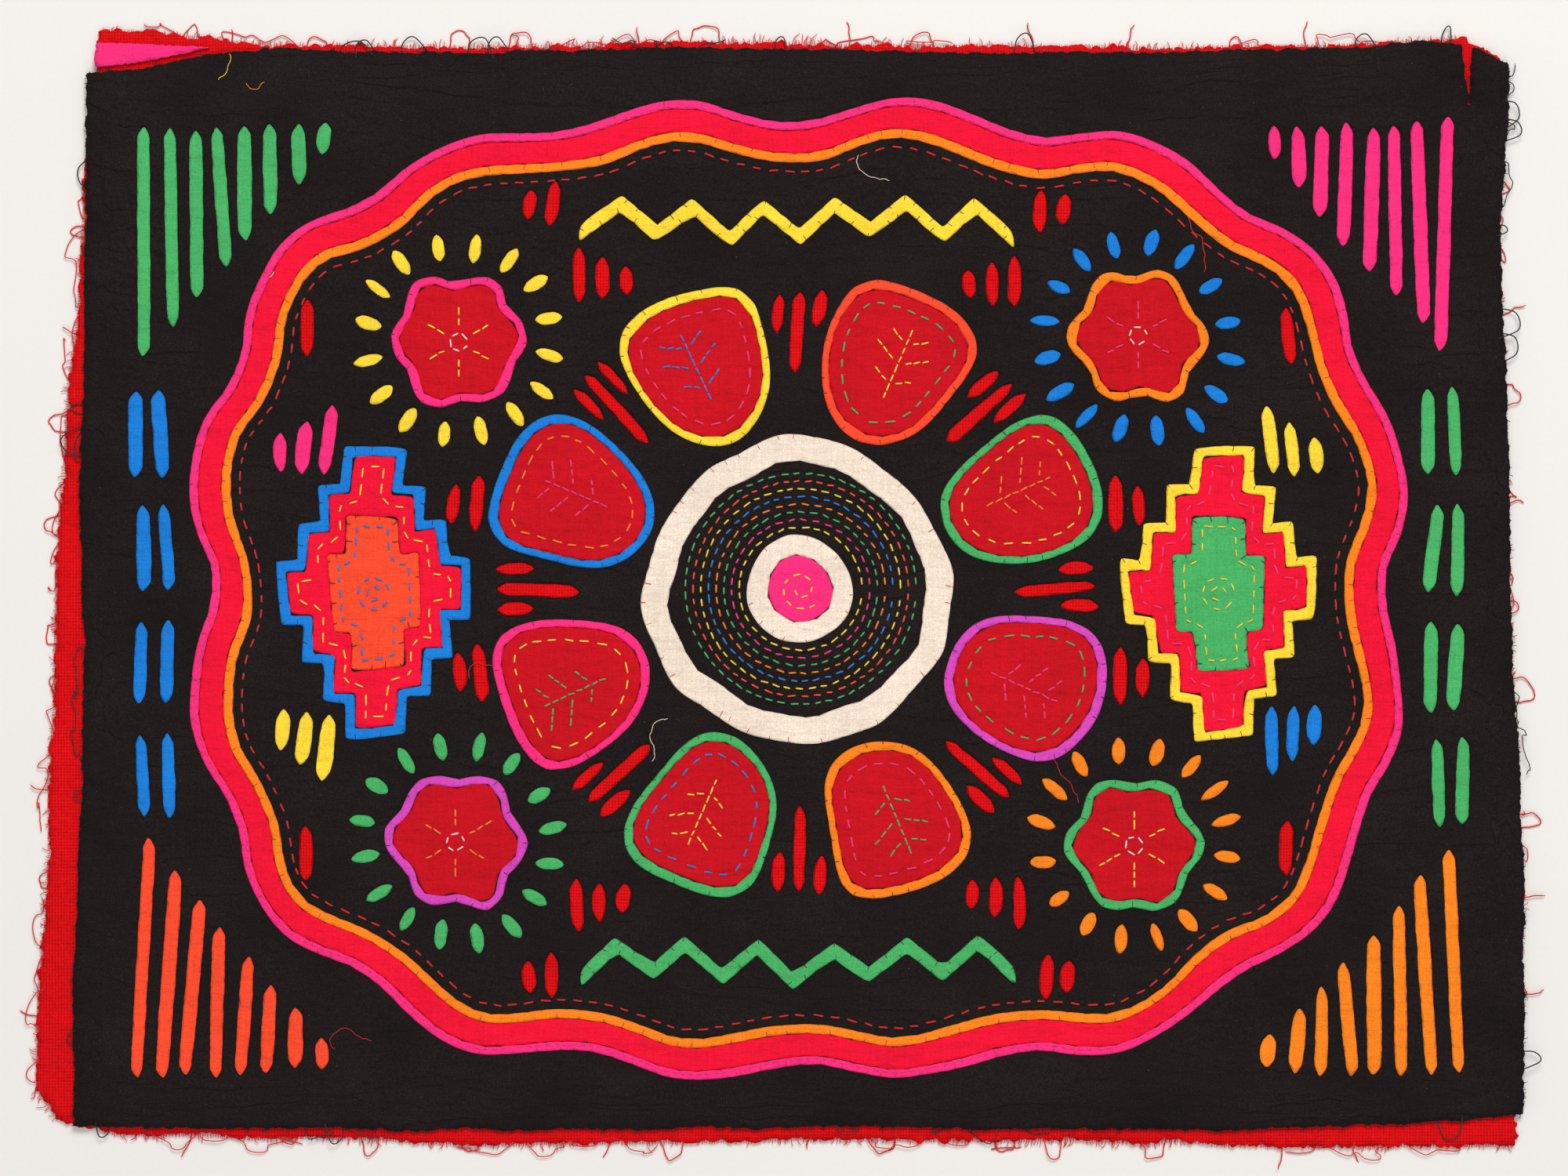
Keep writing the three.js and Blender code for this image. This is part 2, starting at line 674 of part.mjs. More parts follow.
function frayedEdge(name, rows, salt) {
  const edge = sidePoints(rows, salt).slice(1);
  let fringe = solidOf(flatSheet(ribbon(edge, GAP, GAP + FRAY.strip).reverse(), BASE_Z));
  for (let i = FRAY.every; i < edge.length - FRAY.every; i += FRAY.every) {
    const along = edge[i + 1].clone().sub(edge[i - 1]).normalize();
    const thread = ribbon(threadPoints(edge[i], along, i, salt), -FRAY.thread / 2, FRAY.thread / 2);
    const options = { depth: FRAY.thread, bevelEnabled: false };
    fringe = fringe.add(solidOf(new THREE.ExtrudeGeometry(shapeOf(thread), options)));
  }
  return clothMesh(`fray_${name}`, "red", geometryOf(fringe));
}

// Assembly
const cloths = new THREE.Group();
cloths.add(clothMesh("base_cloth", "red", flatSheet(rawOutline(BASE_SIDES, BASE_SALT), BASE_Z)));
cloths.add(...clothsWithSlits(), cornerScrap());
Object.entries(BASE_SIDES).forEach(([name, rows], i) => cloths.add(frayedEdge(name, rows, BASE_SALT + i)));

const design = new THREE.Group();
design.position.set(CENTRE.x, CENTRE.y, 0);
design.add(...band(), ...flower(), ...DIAMONDS.flatMap(diamond), ...BLOSSOMS.flatMap(blossom));
design.add(...ZIGZAGS.map(zigzag));

const panel = new THREE.Group();
panel.add(cloths, design);
const middle = new THREE.Box3().setFromObject(panel).getCenter(new THREE.Vector3());
cloths.position.set(-middle.x, -middle.y, 0);
design.position.set(CENTRE.x - middle.x, CENTRE.y - middle.y, 0);

export default panel;
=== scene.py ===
# A layered applique textile panel lying flat on pale paper: sewn cloths, stitches and frayed threads.
import json
import math
import random

import bpy
import numpy as np
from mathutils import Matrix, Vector, noise
from mathutils.geometry import delaunay_2d_cdt
from mathutils.kdtree import KDTree


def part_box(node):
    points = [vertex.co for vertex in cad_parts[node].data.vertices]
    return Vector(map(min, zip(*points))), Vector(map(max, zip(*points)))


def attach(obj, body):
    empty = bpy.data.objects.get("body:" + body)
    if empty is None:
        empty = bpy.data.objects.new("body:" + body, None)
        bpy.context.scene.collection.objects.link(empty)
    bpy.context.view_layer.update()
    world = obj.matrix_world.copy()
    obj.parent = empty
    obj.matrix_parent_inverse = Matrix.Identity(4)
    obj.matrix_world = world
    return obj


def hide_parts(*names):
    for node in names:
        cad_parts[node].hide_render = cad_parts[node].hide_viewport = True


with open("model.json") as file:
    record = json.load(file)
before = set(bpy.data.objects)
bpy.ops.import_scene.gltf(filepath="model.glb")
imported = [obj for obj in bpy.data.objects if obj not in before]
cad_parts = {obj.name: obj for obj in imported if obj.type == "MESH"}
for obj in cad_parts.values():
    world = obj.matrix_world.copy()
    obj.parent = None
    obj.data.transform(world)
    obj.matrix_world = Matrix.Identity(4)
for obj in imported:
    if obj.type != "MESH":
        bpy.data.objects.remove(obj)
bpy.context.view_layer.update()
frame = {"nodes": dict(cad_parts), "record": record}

# Lengths are in millimetres until a mesh is made
MM = 0.001
PHOTO_WIDTH = 450.0
GROUND_IN_PHOTO = (4.2, 0.65)  # middle of the black cloth, from the middle of the photograph
LENS = 100.0
SENSOR = 36.0

# Cloth levels, a little inside the solids' own
BASE_TOP = 1.0
PATCH_TOP = 2.3
GROUND_UNDER = 2.6
GROUND_TOP = 3.6
RIM_TOP = 2.2
RIM_UNDER = 1.45
RIM_RUN = 10.35  # the black cloth slopes down to its rim over this much
APPLIQUE_UNDER = 3.7
APPLIQUE_TOP = 4.2
FIELD_DROP = 0.22  # a cloth inside an edging lies this much below it
INLAY_TOP = 3.42

# Meshing
EDGE_STEP = 1.0
CORNER_TURN = math.radians(70)
TORN_CORNER = math.radians(28)  # a torn cloth keeps its blunter corners too
UP_FACING = 0.5
NEAR_ROWS = (0.3, 0.75, 1.35)
ROW_CLEAR = 0.88  # a row's point is left out where an edge is nearer than this share of the row's distance
TREE_STEP = 0.25

# Sewing
HEM_PITCH = 5.6
HEM_PULL = 0.13
HEM_FACET = 0.65  # how straight the folded edge runs from stitch to stitch
LAP = 0.15  # neighbouring cloths meet, so each outline grows by this much
FOLD_RADIUS = 0.32
THREAD = 0.24
FINE_THREAD = 0.11
STRAY_THREAD = 0.1
STITCH_JITTER = 1.3
FACET_SPAN = 1.5  # an edge is straightened between stitches up to this many pitches apart
FACET_BULGE = 1.2  # and where it bulges less than this
PULL_WIDTH = 0.9
STITCH_PATH = ((0.0, -0.45), (0.14, 0.10), (0.5, 0.26), (0.86, 0.10), (1.0, -0.45))  # share along it, height
HEM_PATH = ((0.0, -0.35), (0.3, 0.02), (0.75, 0.04), (1.0, -0.12))  # share along it, height

COLOURS = {
    "black": "#1b1514",
    "red": "#e2070f",
    "crimson": "#f01134",
    "garnet": "#c60e1d",
    "pink": "#fa2e7c",
    "orange": "#fc841d",
    "coral": "#fb4c2d",
    "yellow": "#fdd83a",
    "green": "#49b064",
    "blue": "#197cd6",
    "purple": "#d548b8",
    "cream": "#f1dfcc",
}
LINT_COLOUR = "#8d7f7a"
PAPER_COLOUR = "#e8e6e2"


# Outlines
def point_key(point):
    return (round(float(point[0]), 3), round(float(point[1]), 3))


def node_loops(name):
    """Outlines of a node's upper face, with the cloth on the left of travel, the longest first."""
    mesh = frame["nodes"][name].data
    mesh.calc_loop_triangles()
    points = [v.co / MM for v in mesh.vertices]
    follow = {}
    for triangle in mesh.loop_triangles:
        if triangle.normal.z < UP_FACING:
            continue
        keys = [point_key(points[i]) for i in triangle.vertices]
        for a, b in zip(keys, keys[1:] + keys[:1]):
            if a == b:
                continue
            if follow.get(b) and a in follow[b]:
                follow[b].remove(a)
            else:
                follow.setdefault(a, []).append(b)
    loops = []
    while any(follow.values()):
        start = next(key for key, after in follow.items() if after)
        loop = [start]
        at = follow[start].pop()
        while at != start:
            loop.append(at)
            at = follow[at].pop()
        loops.append(np.array(loop))
    return sorted(loops, key=loop_length, reverse=True)


def loop_length(loop):
    return float(np.linalg.norm(np.roll(loop, -1, 0) - loop, axis=1).sum())


def unit(vectors):
    return vectors / np.maximum(np.linalg.norm(vectors, axis=-1, keepdims=True), 1e-9)


def left_of(ways):
    """The directions a quarter turn to the left."""
    return np.stack([-ways[..., 1], ways[..., 0]], -1)


def run_of(line):
    """How far along a line each of its points is."""
    steps = np.linalg.norm(np.diff(line, axis=0), axis=1)
    return np.concatenate([[0], np.cumsum(steps)])


def point_at(line, run, at):
    """The place or places at these distances along a line."""
    return np.stack([np.interp(at, run, line[:, 0]), np.interp(at, run, line[:, 1])], -1)


def smooth_loop(points, step=EDGE_STEP, corner=CORNER_TURN):
    """A closed curve through the points that keeps the sharp corners, at even steps."""
    sides = np.linalg.norm(np.roll(points, -1, 0) - points, axis=1)
    ahead = unit(np.roll(points, -1, 0) - points)
    behind = np.roll(ahead, 1, 0)
    turn = np.arccos(np.clip((ahead * behind).sum(1), -1, 1))
    tangent = unit(ahead + behind) * np.minimum(sides, np.roll(sides, 1))[:, None]
    made = []
    for i, start in enumerate(points):
        j = (i + 1) % len(points)
        end = points[j]
        length = sides[i]
        leave = ahead[i] * length if turn[i] > corner else tangent[i]
        arrive = ahead[i] * length if turn[j] > corner else tangent[j]
        count = max(1, round(length / step))
        for u in np.arange(count) / count:
            a = (2 * u**3 - 3 * u**2 + 1) * start + (u**3 - 2 * u**2 + u) * leave
            made.append(a + (3 * u**2 - 2 * u**3) * end + (u**3 - u**2) * arrive)
    made = np.array(made)
    return 0.5 * made + 0.25 * np.roll(made, 1, 0) + 0.25 * np.roll(made, -1, 0)


def left_normals(loop):
    return left_of(unit(np.roll(loop, -1, 0) - np.roll(loop, 1, 0)))


def hemmed_loop(loop, rng, lap=LAP):
    """The loop as turned under by hand: nearly straight from stitch to stitch, and the stitches' indices."""
    count = len(loop)
    stitches = max(3, round(loop_length(loop) / HEM_PITCH))
    at = (np.arange(stitches) + rng.uniform(0, 1)) * count / stitches
    at = (at + np.array([rng.uniform(-STITCH_JITTER, STITCH_JITTER) for _ in range(stitches)])) % count
    at = np.unique(at.astype(int))
    grown = loop - left_normals(loop) * lap
    faceted = grown.copy()
    for first, last in zip(at, np.roll(at, -1)):
        span = (last - first) % count
        if stretch_length(grown, first, span) < FACET_SPAN * HEM_PITCH:
            chord = (np.arange(span + 1) / max(span, 1))[:, None]
            straight = grown[first] + (grown[last] - grown[first]) * chord
            index = (first + np.arange(span + 1)) % count
            bulge = np.linalg.norm(grown[index] - straight, axis=1).max()
            if bulge < FACET_BULGE:
                faceted[index] = grown[index] + (straight - grown[index]) * HEM_FACET
    away = np.abs(np.arange(count)[:, None] - at[None, :])
    away = np.minimum(away, count - away) * EDGE_STEP
    pull = HEM_PULL * np.exp(-((away / PULL_WIDTH) ** 2)).max(1)
    return faceted + left_normals(faceted) * pull[:, None], at


def stretch_length(loop, first, span):
    """Length of a loop over a span of its points."""
    part = np.take(loop, range(first, first + span + 1), axis=0, mode="wrap")
    return float(np.linalg.norm(np.diff(part, axis=0), axis=1).sum())


def raw_loop(loop, rng, fine=0.2, wander=0.0, notch=0.0):
    """The loop with the small unevenness of a torn edge."""
    ragged = np.array([rng.uniform(-fine, fine) for _ in range(len(loop))])
    ragged += wander * ripples(loop, scale=4.5, seed=31.7) + notch * ripples(loop, scale=1.7, seed=12.9)
    return loop + left_normals(loop) * ragged[:, None]


def inside(points, loops):
    """Even-odd test of many points against closed loops."""
    result = np.zeros(len(points), bool)
    x, y = points[:, 0], points[:, 1]
    for loop in loops:
        low, high = loop.min(0), loop.max(0)
        near = np.nonzero((x >= low[0]) & (x <= high[0]) & (y >= low[1]) & (y <= high[1]))[0]
        if not len(near):
            continue
        px, py = x[near], y[near]
        odd = np.zeros(len(near), bool)
        after = np.roll(loop, -1, 0)
        for (ax, ay), (bx, by) in zip(loop, after):
            cross = (ay > py) != (by > py)
            if cross.any():
                odd[cross] ^= px[cross] < (bx - ax) * (py[cross] - ay) / (by - ay) + ax
        result[near] ^= odd
    return result


def line_tree(loops, closed=True):
    """A search tree of closely spaced points along the lines."""
    dense = []
    for loop in loops:
        after = np.roll(loop, -1, 0) if closed else loop[1:]
        before = loop if closed else loop[:-1]
        for a, b in zip(before, after):
            steps = max(1, int(np.linalg.norm(b - a) / TREE_STEP))
            dense.extend(a + (b - a) * k / steps for k in range(steps))
    tree = KDTree(len(dense))
    for i, point in enumerate(dense):
        tree.insert((point[0], point[1], 0), i)
    tree.balance()
    return tree


def distances(points, tree):
    return np.array([tree.find((p[0], p[1], 0))[2] for p in points])


# The lie of the whole panel, and the small unevenness of one cloth
WIDE_WAVE = (46, 17)  # along x and along y
FINE_WAVE = (15, 7)
LIE_LEVEL = 0.34
WIDE_RISE = 0.26
FINE_RISE = 0.16


def lie(x, y):
    wide = noise.noise(Vector((x / WIDE_WAVE[0], y / WIDE_WAVE[1], 3.1)))
    fine = noise.noise(Vector((x / FINE_WAVE[0], y / FINE_WAVE[1], 7.7)))
    return max(0.0, LIE_LEVEL + WIDE_RISE * wide + FINE_RISE * fine)


def lies(points):
    return np.array([lie(x, y) for x, y in points])


def ripples(points, scale, seed):
    return np.array([noise.noise(Vector((x / scale, y / scale, seed))) for x, y in points])


def smooth_step(value):
    value = np.clip(value, 0, 1)
    return value * value * (3 - 2 * value)


def fold_drop(away, radius=FOLD_RADIUS):
    """How far a turned-under edge has rolled down at this distance from it."""
    rest = np.clip(1 - away / radius, 0, 1)
    return radius * (1 - np.sqrt(1 - rest * rest))


# Meshes
def grid_points(low, high, spacing):
    rows = []
    step_y = spacing * math.sqrt(3) / 2
    for k, y in enumerate(np.arange(low[1], high[1], step_y)):
        x = np.arange(low[0] + (spacing / 2 if k % 2 else 0), high[0], spacing)
        rows.append(np.stack([x, np.full_like(x, y)], 1))
    return np.concatenate(rows)


def triangulate(loops, extra):
    """Triangles of the cloth between the loops, through the extra points as well."""
    points = np.concatenate([*loops, extra]) if len(extra) else np.concatenate(loops)
    edges = []
    first = 0
    for loop in loops:
        count = len(loop)
        edges.extend((first + i, first + (i + 1) % count) for i in range(count))
        first += count
    made = delaunay_2d_cdt([Vector(p) for p in points], edges, [], 0, 1e-5)
    flat = np.array([tuple(v) for v in made[0]])
    faces = np.array([f for f in made[2] if len(f) == 3])
    keep = inside(flat[faces].mean(1), loops)
    return flat, faces[keep]


def closed_sheet(name, loops, extra, top_of, under_of):
    """A closed cloth: a fine face on top, a plain one below and a wall round each loop."""
    top_flat, top_faces = triangulate(loops, extra)
    low_flat, low_faces = triangulate(loops, np.zeros((0, 2)))
    top_z = top_of(top_flat)
    low_z = under_of(low_flat)
    vertices = [(x, y, z) for (x, y), z in zip(top_flat, top_z)]
    vertices += [(x, y, z) for (x, y), z in zip(low_flat, low_z)]
    shift = len(top_flat)
    faces = [tuple(f) for f in oriented(top_flat, top_faces)]
    faces += [(c + shift, b + shift, a + shift) for a, b, c in oriented(low_flat, low_faces)]
    low_index = {point_key(p): i + shift for i, p in enumerate(low_flat)}
    for a, b in border_edges(faces[: len(top_faces)]):
        faces.append((b, a, low_index[point_key(top_flat[a])], low_index[point_key(top_flat[b])]))
    return mesh_object(name, vertices, faces)


def oriented(flat, faces):
    """The same triangles, all turned to face up."""
    a, b, c = (flat[faces[:, k]] for k in range(3))
    area = (b[:, 0] - a[:, 0]) * (c[:, 1] - a[:, 1]) - (b[:, 1] - a[:, 1]) * (c[:, 0] - a[:, 0])
    turned = faces.copy()
    turned[area < 0] = turned[area < 0][:, ::-1]
    return [tuple(int(i) for i in f) for f in turned]


def border_edges(faces):
    seen = set()
    for face in faces:
        for a, b in zip(face, face[1:] + face[:1]):
            if (b, a) in seen:
                seen.remove((b, a))
            else:
                seen.add((a, b))
    return sorted(seen)


def mesh_object(name, vertices, faces):
    mesh = bpy.data.meshes.new(name)
    mesh.from_pydata([(x * MM, y * MM, z * MM) for x, y, z in vertices], [], faces)
    mesh.validate()
    mesh.polygons.foreach_set("use_smooth", [True] * len(mesh.polygons))
    mesh.update()
    piece = bpy.data.objects.new(name, mesh)
    bpy.context.scene.collection.objects.link(piece)
    return piece


def near_points(loops, tree, rows=NEAR_ROWS, side=1):
    """Points in rows beside the loops, where the cloth bends most: on their left, or right for side -1."""
    kept = []
    for away in rows:
        for loop in loops:
            row = loop + left_normals(loop) * away * side
            kept.append(row[distances(row, tree) > ROW_CLEAR * away])
    return np.concatenate(kept)


def spread_points(loops, tree, spacing, clear):
    """A staggered grid over the cloth, clear of its edges."""
    grid = grid_points(loops[0].min(0), loops[0].max(0), spacing)
    grid = grid[inside(grid, loops)]
    return grid[distances(grid, tree) > clear]


# Materials
def linear(hex_colour):
    values = [int(hex_colour[i : i + 2], 16) / 255 for i in (1, 3, 5)]
    return [v / 12.92 if v <= 0.04045 else ((v + 0.055) / 1.055) ** 2.4 for v in values] + [1.0]


class Nodes:
    """Short calls for making and linking shader nodes."""

    def __init__(self, name):
        self.material = bpy.data.materials.new(name)
        self.material.use_nodes = True
        self.tree = self.material.node_tree
        self.shader = self.tree.nodes["Principled BSDF"]
        self.coords = self.tree.nodes.new("ShaderNodeTexCoord").outputs["Object"]

    def new(self, kind, inputs=None, **settings):
        node = self.tree.nodes.new(kind)
        for key, value in settings.items():
            setattr(node, key, value)
        for key, value in (inputs or {}).items():
            if isinstance(value, bpy.types.NodeSocket):
                self.tree.links.new(value, node.inputs[key])
            else:
                node.inputs[key].default_value = value
        return node

    def stretched(self, scale, turn=0.0):
        inputs = {"Vector": self.coords, "Scale": scale, "Rotation": (0, 0, turn)}
        return self.new("ShaderNodeMapping", inputs).outputs["Vector"]

    def noise(self, scale, detail=2.0, turn=0.0, roughness=0.5):
        inputs = {"Vector": self.stretched(scale, turn), "Scale": 1.0}
        inputs.update({"Detail": detail, "Roughness": roughness})
        return self.new("ShaderNodeTexNoise", inputs).outputs["Fac"]

    def wave(self, scale, direction, turn):
        inputs = {"Vector": self.stretched(scale, turn), "Scale": 1.0, "Distortion": 1.1}
        inputs.update({"Detail": 1.0, "Detail Scale": 0.35})
        node = self.new("ShaderNodeTexWave", inputs, bands_direction=direction)
        return node.outputs["Fac"]

    def range(self, value, low, high, to_low, to_high):
        inputs = {"Value": value, "From Min": low, "From Max": high, "To Min": to_low, "To Max": to_high}
        return self.new("ShaderNodeMapRange", inputs).outputs["Result"]

    def math(self, operation, a, b):
        return self.new("ShaderNodeMath", {0: a, 1: b}, operation=operation).outputs[0]

    def mix(self, factor, a, b, blend="MIX"):
        node = self.new("ShaderNodeMix", data_type="RGBA", blend_type=blend)
        for key, value in ((0, factor), (6, a), (7, b)):
            if isinstance(value, bpy.types.NodeSocket):
                self.tree.links.new(value, node.inputs[key])
            else:
                node.inputs[key].default_value = value
        return node.outputs[2]

    def tinted(self, tint, shade):
        grey = self.new("ShaderNodeCombineColor", {0: shade, 1: shade, 2: shade}).outputs[0]
        return self.mix(1.0, tint, grey, "MULTIPLY")

    def link(self, output, name):
        self.tree.links.new(output, self.shader.inputs[name])


WAVE_TURN = 2 * math.pi / 20  # a wave texture's period at scale one

# Looks of a fine cotton: distance between threads, least and most painted shade in the weave's grooves and
# least and most tone of the grain, relief and lint
FINE_COTTON = {
    "pitch": 0.46,
    "groove_shade_to": (0.9, 1.03),
    "grain_to": (0.86, 1.12),
    "relief": 0.2,
    "lint": 0.0,
}

# Where other cloths differ: the black one is worn and the red base is coarse
CLOTH_LOOKS = {
    "black": {"grain_to": (0.6, 1.5), "lint": 0.3},
    "red": {"pitch": 0.85, "groove_shade_to": (0.66, 1.1), "grain_to": (0.78, 1.14), "relief": 0.5},
}


def cotton(colour, turn, pitch, groove_shade_to, grain_to, relief, lint):
    """Plain woven cotton: crossing threads with painted shade in the grooves between them, slubs, faded
    patches and a little fuzz.
    """
    nodes = Nodes("cotton_" + colour)
    tint = linear(COLOURS[colour])
    per_mm = 1 / MM
    weave = WAVE_TURN / pitch * per_mm
    warp = nodes.wave((weave, weave, weave), "X", turn)
    weft = nodes.wave((weave * 0.93, weave * 0.93, weave), "Y", turn)
    threads = nodes.math("MULTIPLY", nodes.math("ADD", warp, weft), 0.5)
    slub_x = nodes.noise((0.10 * per_mm, 1.9 * per_mm, per_mm), 2.0, turn)
    slub_y = nodes.noise((1.9 * per_mm, 0.10 * per_mm, per_mm), 2.0, turn)
    slubs = nodes.math("MULTIPLY", nodes.math("ADD", slub_x, slub_y), 0.5)
    fade = nodes.noise((0.045 * per_mm,) * 3, 4.0)
    grain = nodes.noise((2.1 * per_mm,) * 3, 2.0)
    shade = nodes.range(slubs, 0.36, 0.64, 0.92, 1.06)
    # Painted shade: the colour is darker in the grooves between the crossing threads
    shade = nodes.math("MULTIPLY", shade, nodes.range(threads, 0.1, 0.9, *groove_shade_to))
    shade = nodes.math("MULTIPLY", shade, nodes.range(grain, 0.3, 0.7, *grain_to))
    worn = 0.22 if lint else 0.06
    shade = nodes.math("MULTIPLY", shade, nodes.range(fade, 0.3, 0.7, 1 - worn, 1 + worn))
    surface = nodes.tinted(tint, shade)
    if lint:
        specks = nodes.noise((1.1 * per_mm, 1.5 * per_mm, per_mm), 2.0, 0.5)
        surface = nodes.mix(nodes.range(specks, 0.72, 0.84, 0.0, lint), surface, linear(LINT_COLOUR))
    nodes.link(surface, "Base Color")
    fuzz = nodes.noise((3.4 * per_mm,) * 3, 3.0)
    height = nodes.math("ADD", nodes.math("MULTIPLY", threads, 0.6), nodes.math("MULTIPLY", slubs, 0.9))
    height = nodes.math("ADD", height, nodes.math("MULTIPLY", fuzz, 0.5))
    pucker = nodes.noise((0.13 * per_mm, 0.22 * per_mm, per_mm), 2.0)
    if lint:
        line = nodes.noise((0.012 * per_mm, 0.085 * per_mm, per_mm), 2.0)
        off_line = nodes.math("ABSOLUTE", nodes.math("SUBTRACT", line, 0.5), 0.0)
        crease = nodes.range(off_line, 0.0, 0.03, 0.3, 0.0)
        crease = nodes.math("MULTIPLY", crease, nodes.range(fade, 0.45, 0.6, 0.0, 1.0))
        pucker = nodes.math("ADD", pucker, crease)
    crimp = nodes.new("ShaderNodeBump", {"Strength": 0.9, "Distance": 0.0017, "Height": pucker})
    fine = {"Strength": 0.45, "Distance": relief * MM, "Height": height, "Normal": crimp.outputs["Normal"]}
    bump = nodes.new("ShaderNodeBump", fine)
    nodes.link(bump.outputs["Normal"], "Normal")
    nodes.shader.inputs["Roughness"].default_value = 0.88
    nodes.shader.inputs["Specular IOR Level"].default_value = 0.12
    nodes.shader.inputs["Sheen Weight"].default_value = 0.03 if colour == "black" else 0.12
    nodes.shader.inputs["Sheen Roughness"].default_value = 0.45
    nodes.shader.inputs["Sheen Tint"].default_value = tint if colour != "black" else (0.6, 0.55, 0.52, 1)
    return nodes.material


def sewing_thread(colour):
    """Twisted cotton thread: a fine slant twist with painted shade in its grooves, and uneven dye."""
    nodes = Nodes("thread_" + colour)
    tint = linear(COLOURS[colour])
    per_mm = 1 / MM
    twist = nodes.wave((WAVE_TURN / 0.32 * per_mm,) * 3, "DIAGONAL", 0.4)
    dye = nodes.noise((0.6 * per_mm,) * 3, 2.0)
    # Painted shade: the colour is darker in the grooves of the twist
    shade = nodes.range(twist, 0.1, 0.9, 0.72, 1.06)
    shade = nodes.math("MULTIPLY", shade, nodes.range(dye, 0.3, 0.7, 0.82, 1.1))
    nodes.link(nodes.tinted(tint, shade), "Base Color")
    bump = nodes.new("ShaderNodeBump", {"Strength": 0.5, "Distance": 0.0001, "Height": twist})
    nodes.link(bump.outputs["Normal"], "Normal")
    nodes.shader.inputs["Roughness"].default_value = 0.75
    nodes.shader.inputs["Specular IOR Level"].default_value = 0.3
    nodes.shader.inputs["Sheen Weight"].default_value = 0.25
    return nodes.material


def paper():
    nodes = Nodes("paper")
    grain = nodes.noise((900.0,) * 3, 3.0)
    tone = nodes.noise((6.0,) * 3, 3.0)
    shade = nodes.range(grain, 0.3, 0.7, 0.985, 1.0)
    shade = nodes.math("MULTIPLY", shade, nodes.range(tone, 0.3, 0.7, 0.98, 1.0))
    nodes.link(nodes.tinted(linear(PAPER_COLOUR), shade), "Base Color")
    nodes.shader.inputs["Roughness"].default_value = 0.9
    nodes.shader.inputs["Specular IOR Level"].default_value = 0.1
    return nodes.material


materials = {}


def cloth_material(slot):
    colour = slot.removeprefix("cotton_")
    if slot not in materials:
        turn = 0.05 * (len(materials) % 5 - 2)
        look = {**FINE_COTTON, **CLOTH_LOOKS.get(colour, {})}
        materials[slot] = cotton(colour, turn, **look)
    return materials[slot]


def thread_material(colour):
    key = "thread_" + colour
    if key not in materials:
        materials[key] = sewing_thread(colour)
    return materials[key]


slot_of = {row["node"]: row["material_slot"] for row in frame["record"]["subparts"]}
nodes_by_name = sorted(frame["nodes"])


def dress(piece, node):
    """Puts a finished cloth in the place of its node."""
    piece.data.materials.append(cloth_material(slot_of[node]))
    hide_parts(node)
    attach(piece, "root")
    return piece


# Ground cloth with its slit windows
WELT_RISE = 0.06
PUCKER_RISE = 0.16
DRAPE_RISE = 0.25
WINDOW_FOLD = 0.4

rng = random.Random(7)
ground_loops = node_loops("ground_cloth")
ground_rim = raw_loop(smooth_loop(ground_loops[0], 0.9, TORN_CORNER), rng, 0.16, 0.35, 0.6)
windows = [raw_loop(smooth_loop(loop, 0.9), rng, 0.05, 0.2) for loop in ground_loops[1:]]
window_tree = line_tree(windows)
rim_tree = line_tree([ground_rim])


def rim_slope(points):
    """How far the black cloth has risen from its rim, from 0 to 1."""
    return smooth_step(distances(points, rim_tree) / RIM_RUN)


def ground_level(points):
    """Height of the black cloth's face, without its rolled edges."""
    return RIM_TOP + (GROUND_TOP - RIM_TOP) * rim_slope(points) + lies(points)


def ground_top(points):
    away = distances(points, window_tree)
    welt = WELT_RISE * np.exp(-(((away - 1.0) / 1.2) ** 2))
    pucker = PUCKER_RISE * np.exp(-away / 5.0) * ripples(points, scale=3.4, seed=11.3)
    drape = DRAPE_RISE * ripples(points * np.array([0.5, 1.0]), scale=5.0, seed=2.2)
    return ground_level(points) + welt + pucker + drape - fold_drop(away, WINDOW_FOLD)


def ground_under(points):
    return RIM_UNDER + (GROUND_UNDER - RIM_UNDER) * rim_slope(points)


def make_ground():
    loops = [ground_rim, *windows]
    tree = line_tree(loops)
    rows = near_points(windows, tree, rows=(0.35, 0.8, 1.5))
    grid = spread_points(loops, tree, spacing=2.0, clear=1.9)
    piece = closed_sheet("ground_cloth_piece", loops, np.concatenate([rows, grid]), ground_top, ground_under)
    return dress(piece, "ground_cloth")


# Base cloth and inlay patches, which swell up through the windows above them
SWELL_REACH = 1.2  # under the cloth round a window
SWELL_RUN = 1.7
INLAY_RIPPLE = 0.1
MARGIN_WIDTH = 22.0


def swelling(points, holes, tree, under_top):
    """How far an inlay rises into the windows over it."""
    depth = distances(points, tree)
    within = inside(points, holes)
    depth = np.where(within, depth, -depth)
    return (INLAY_TOP - under_top) * smooth_step((depth + SWELL_REACH) / SWELL_RUN)


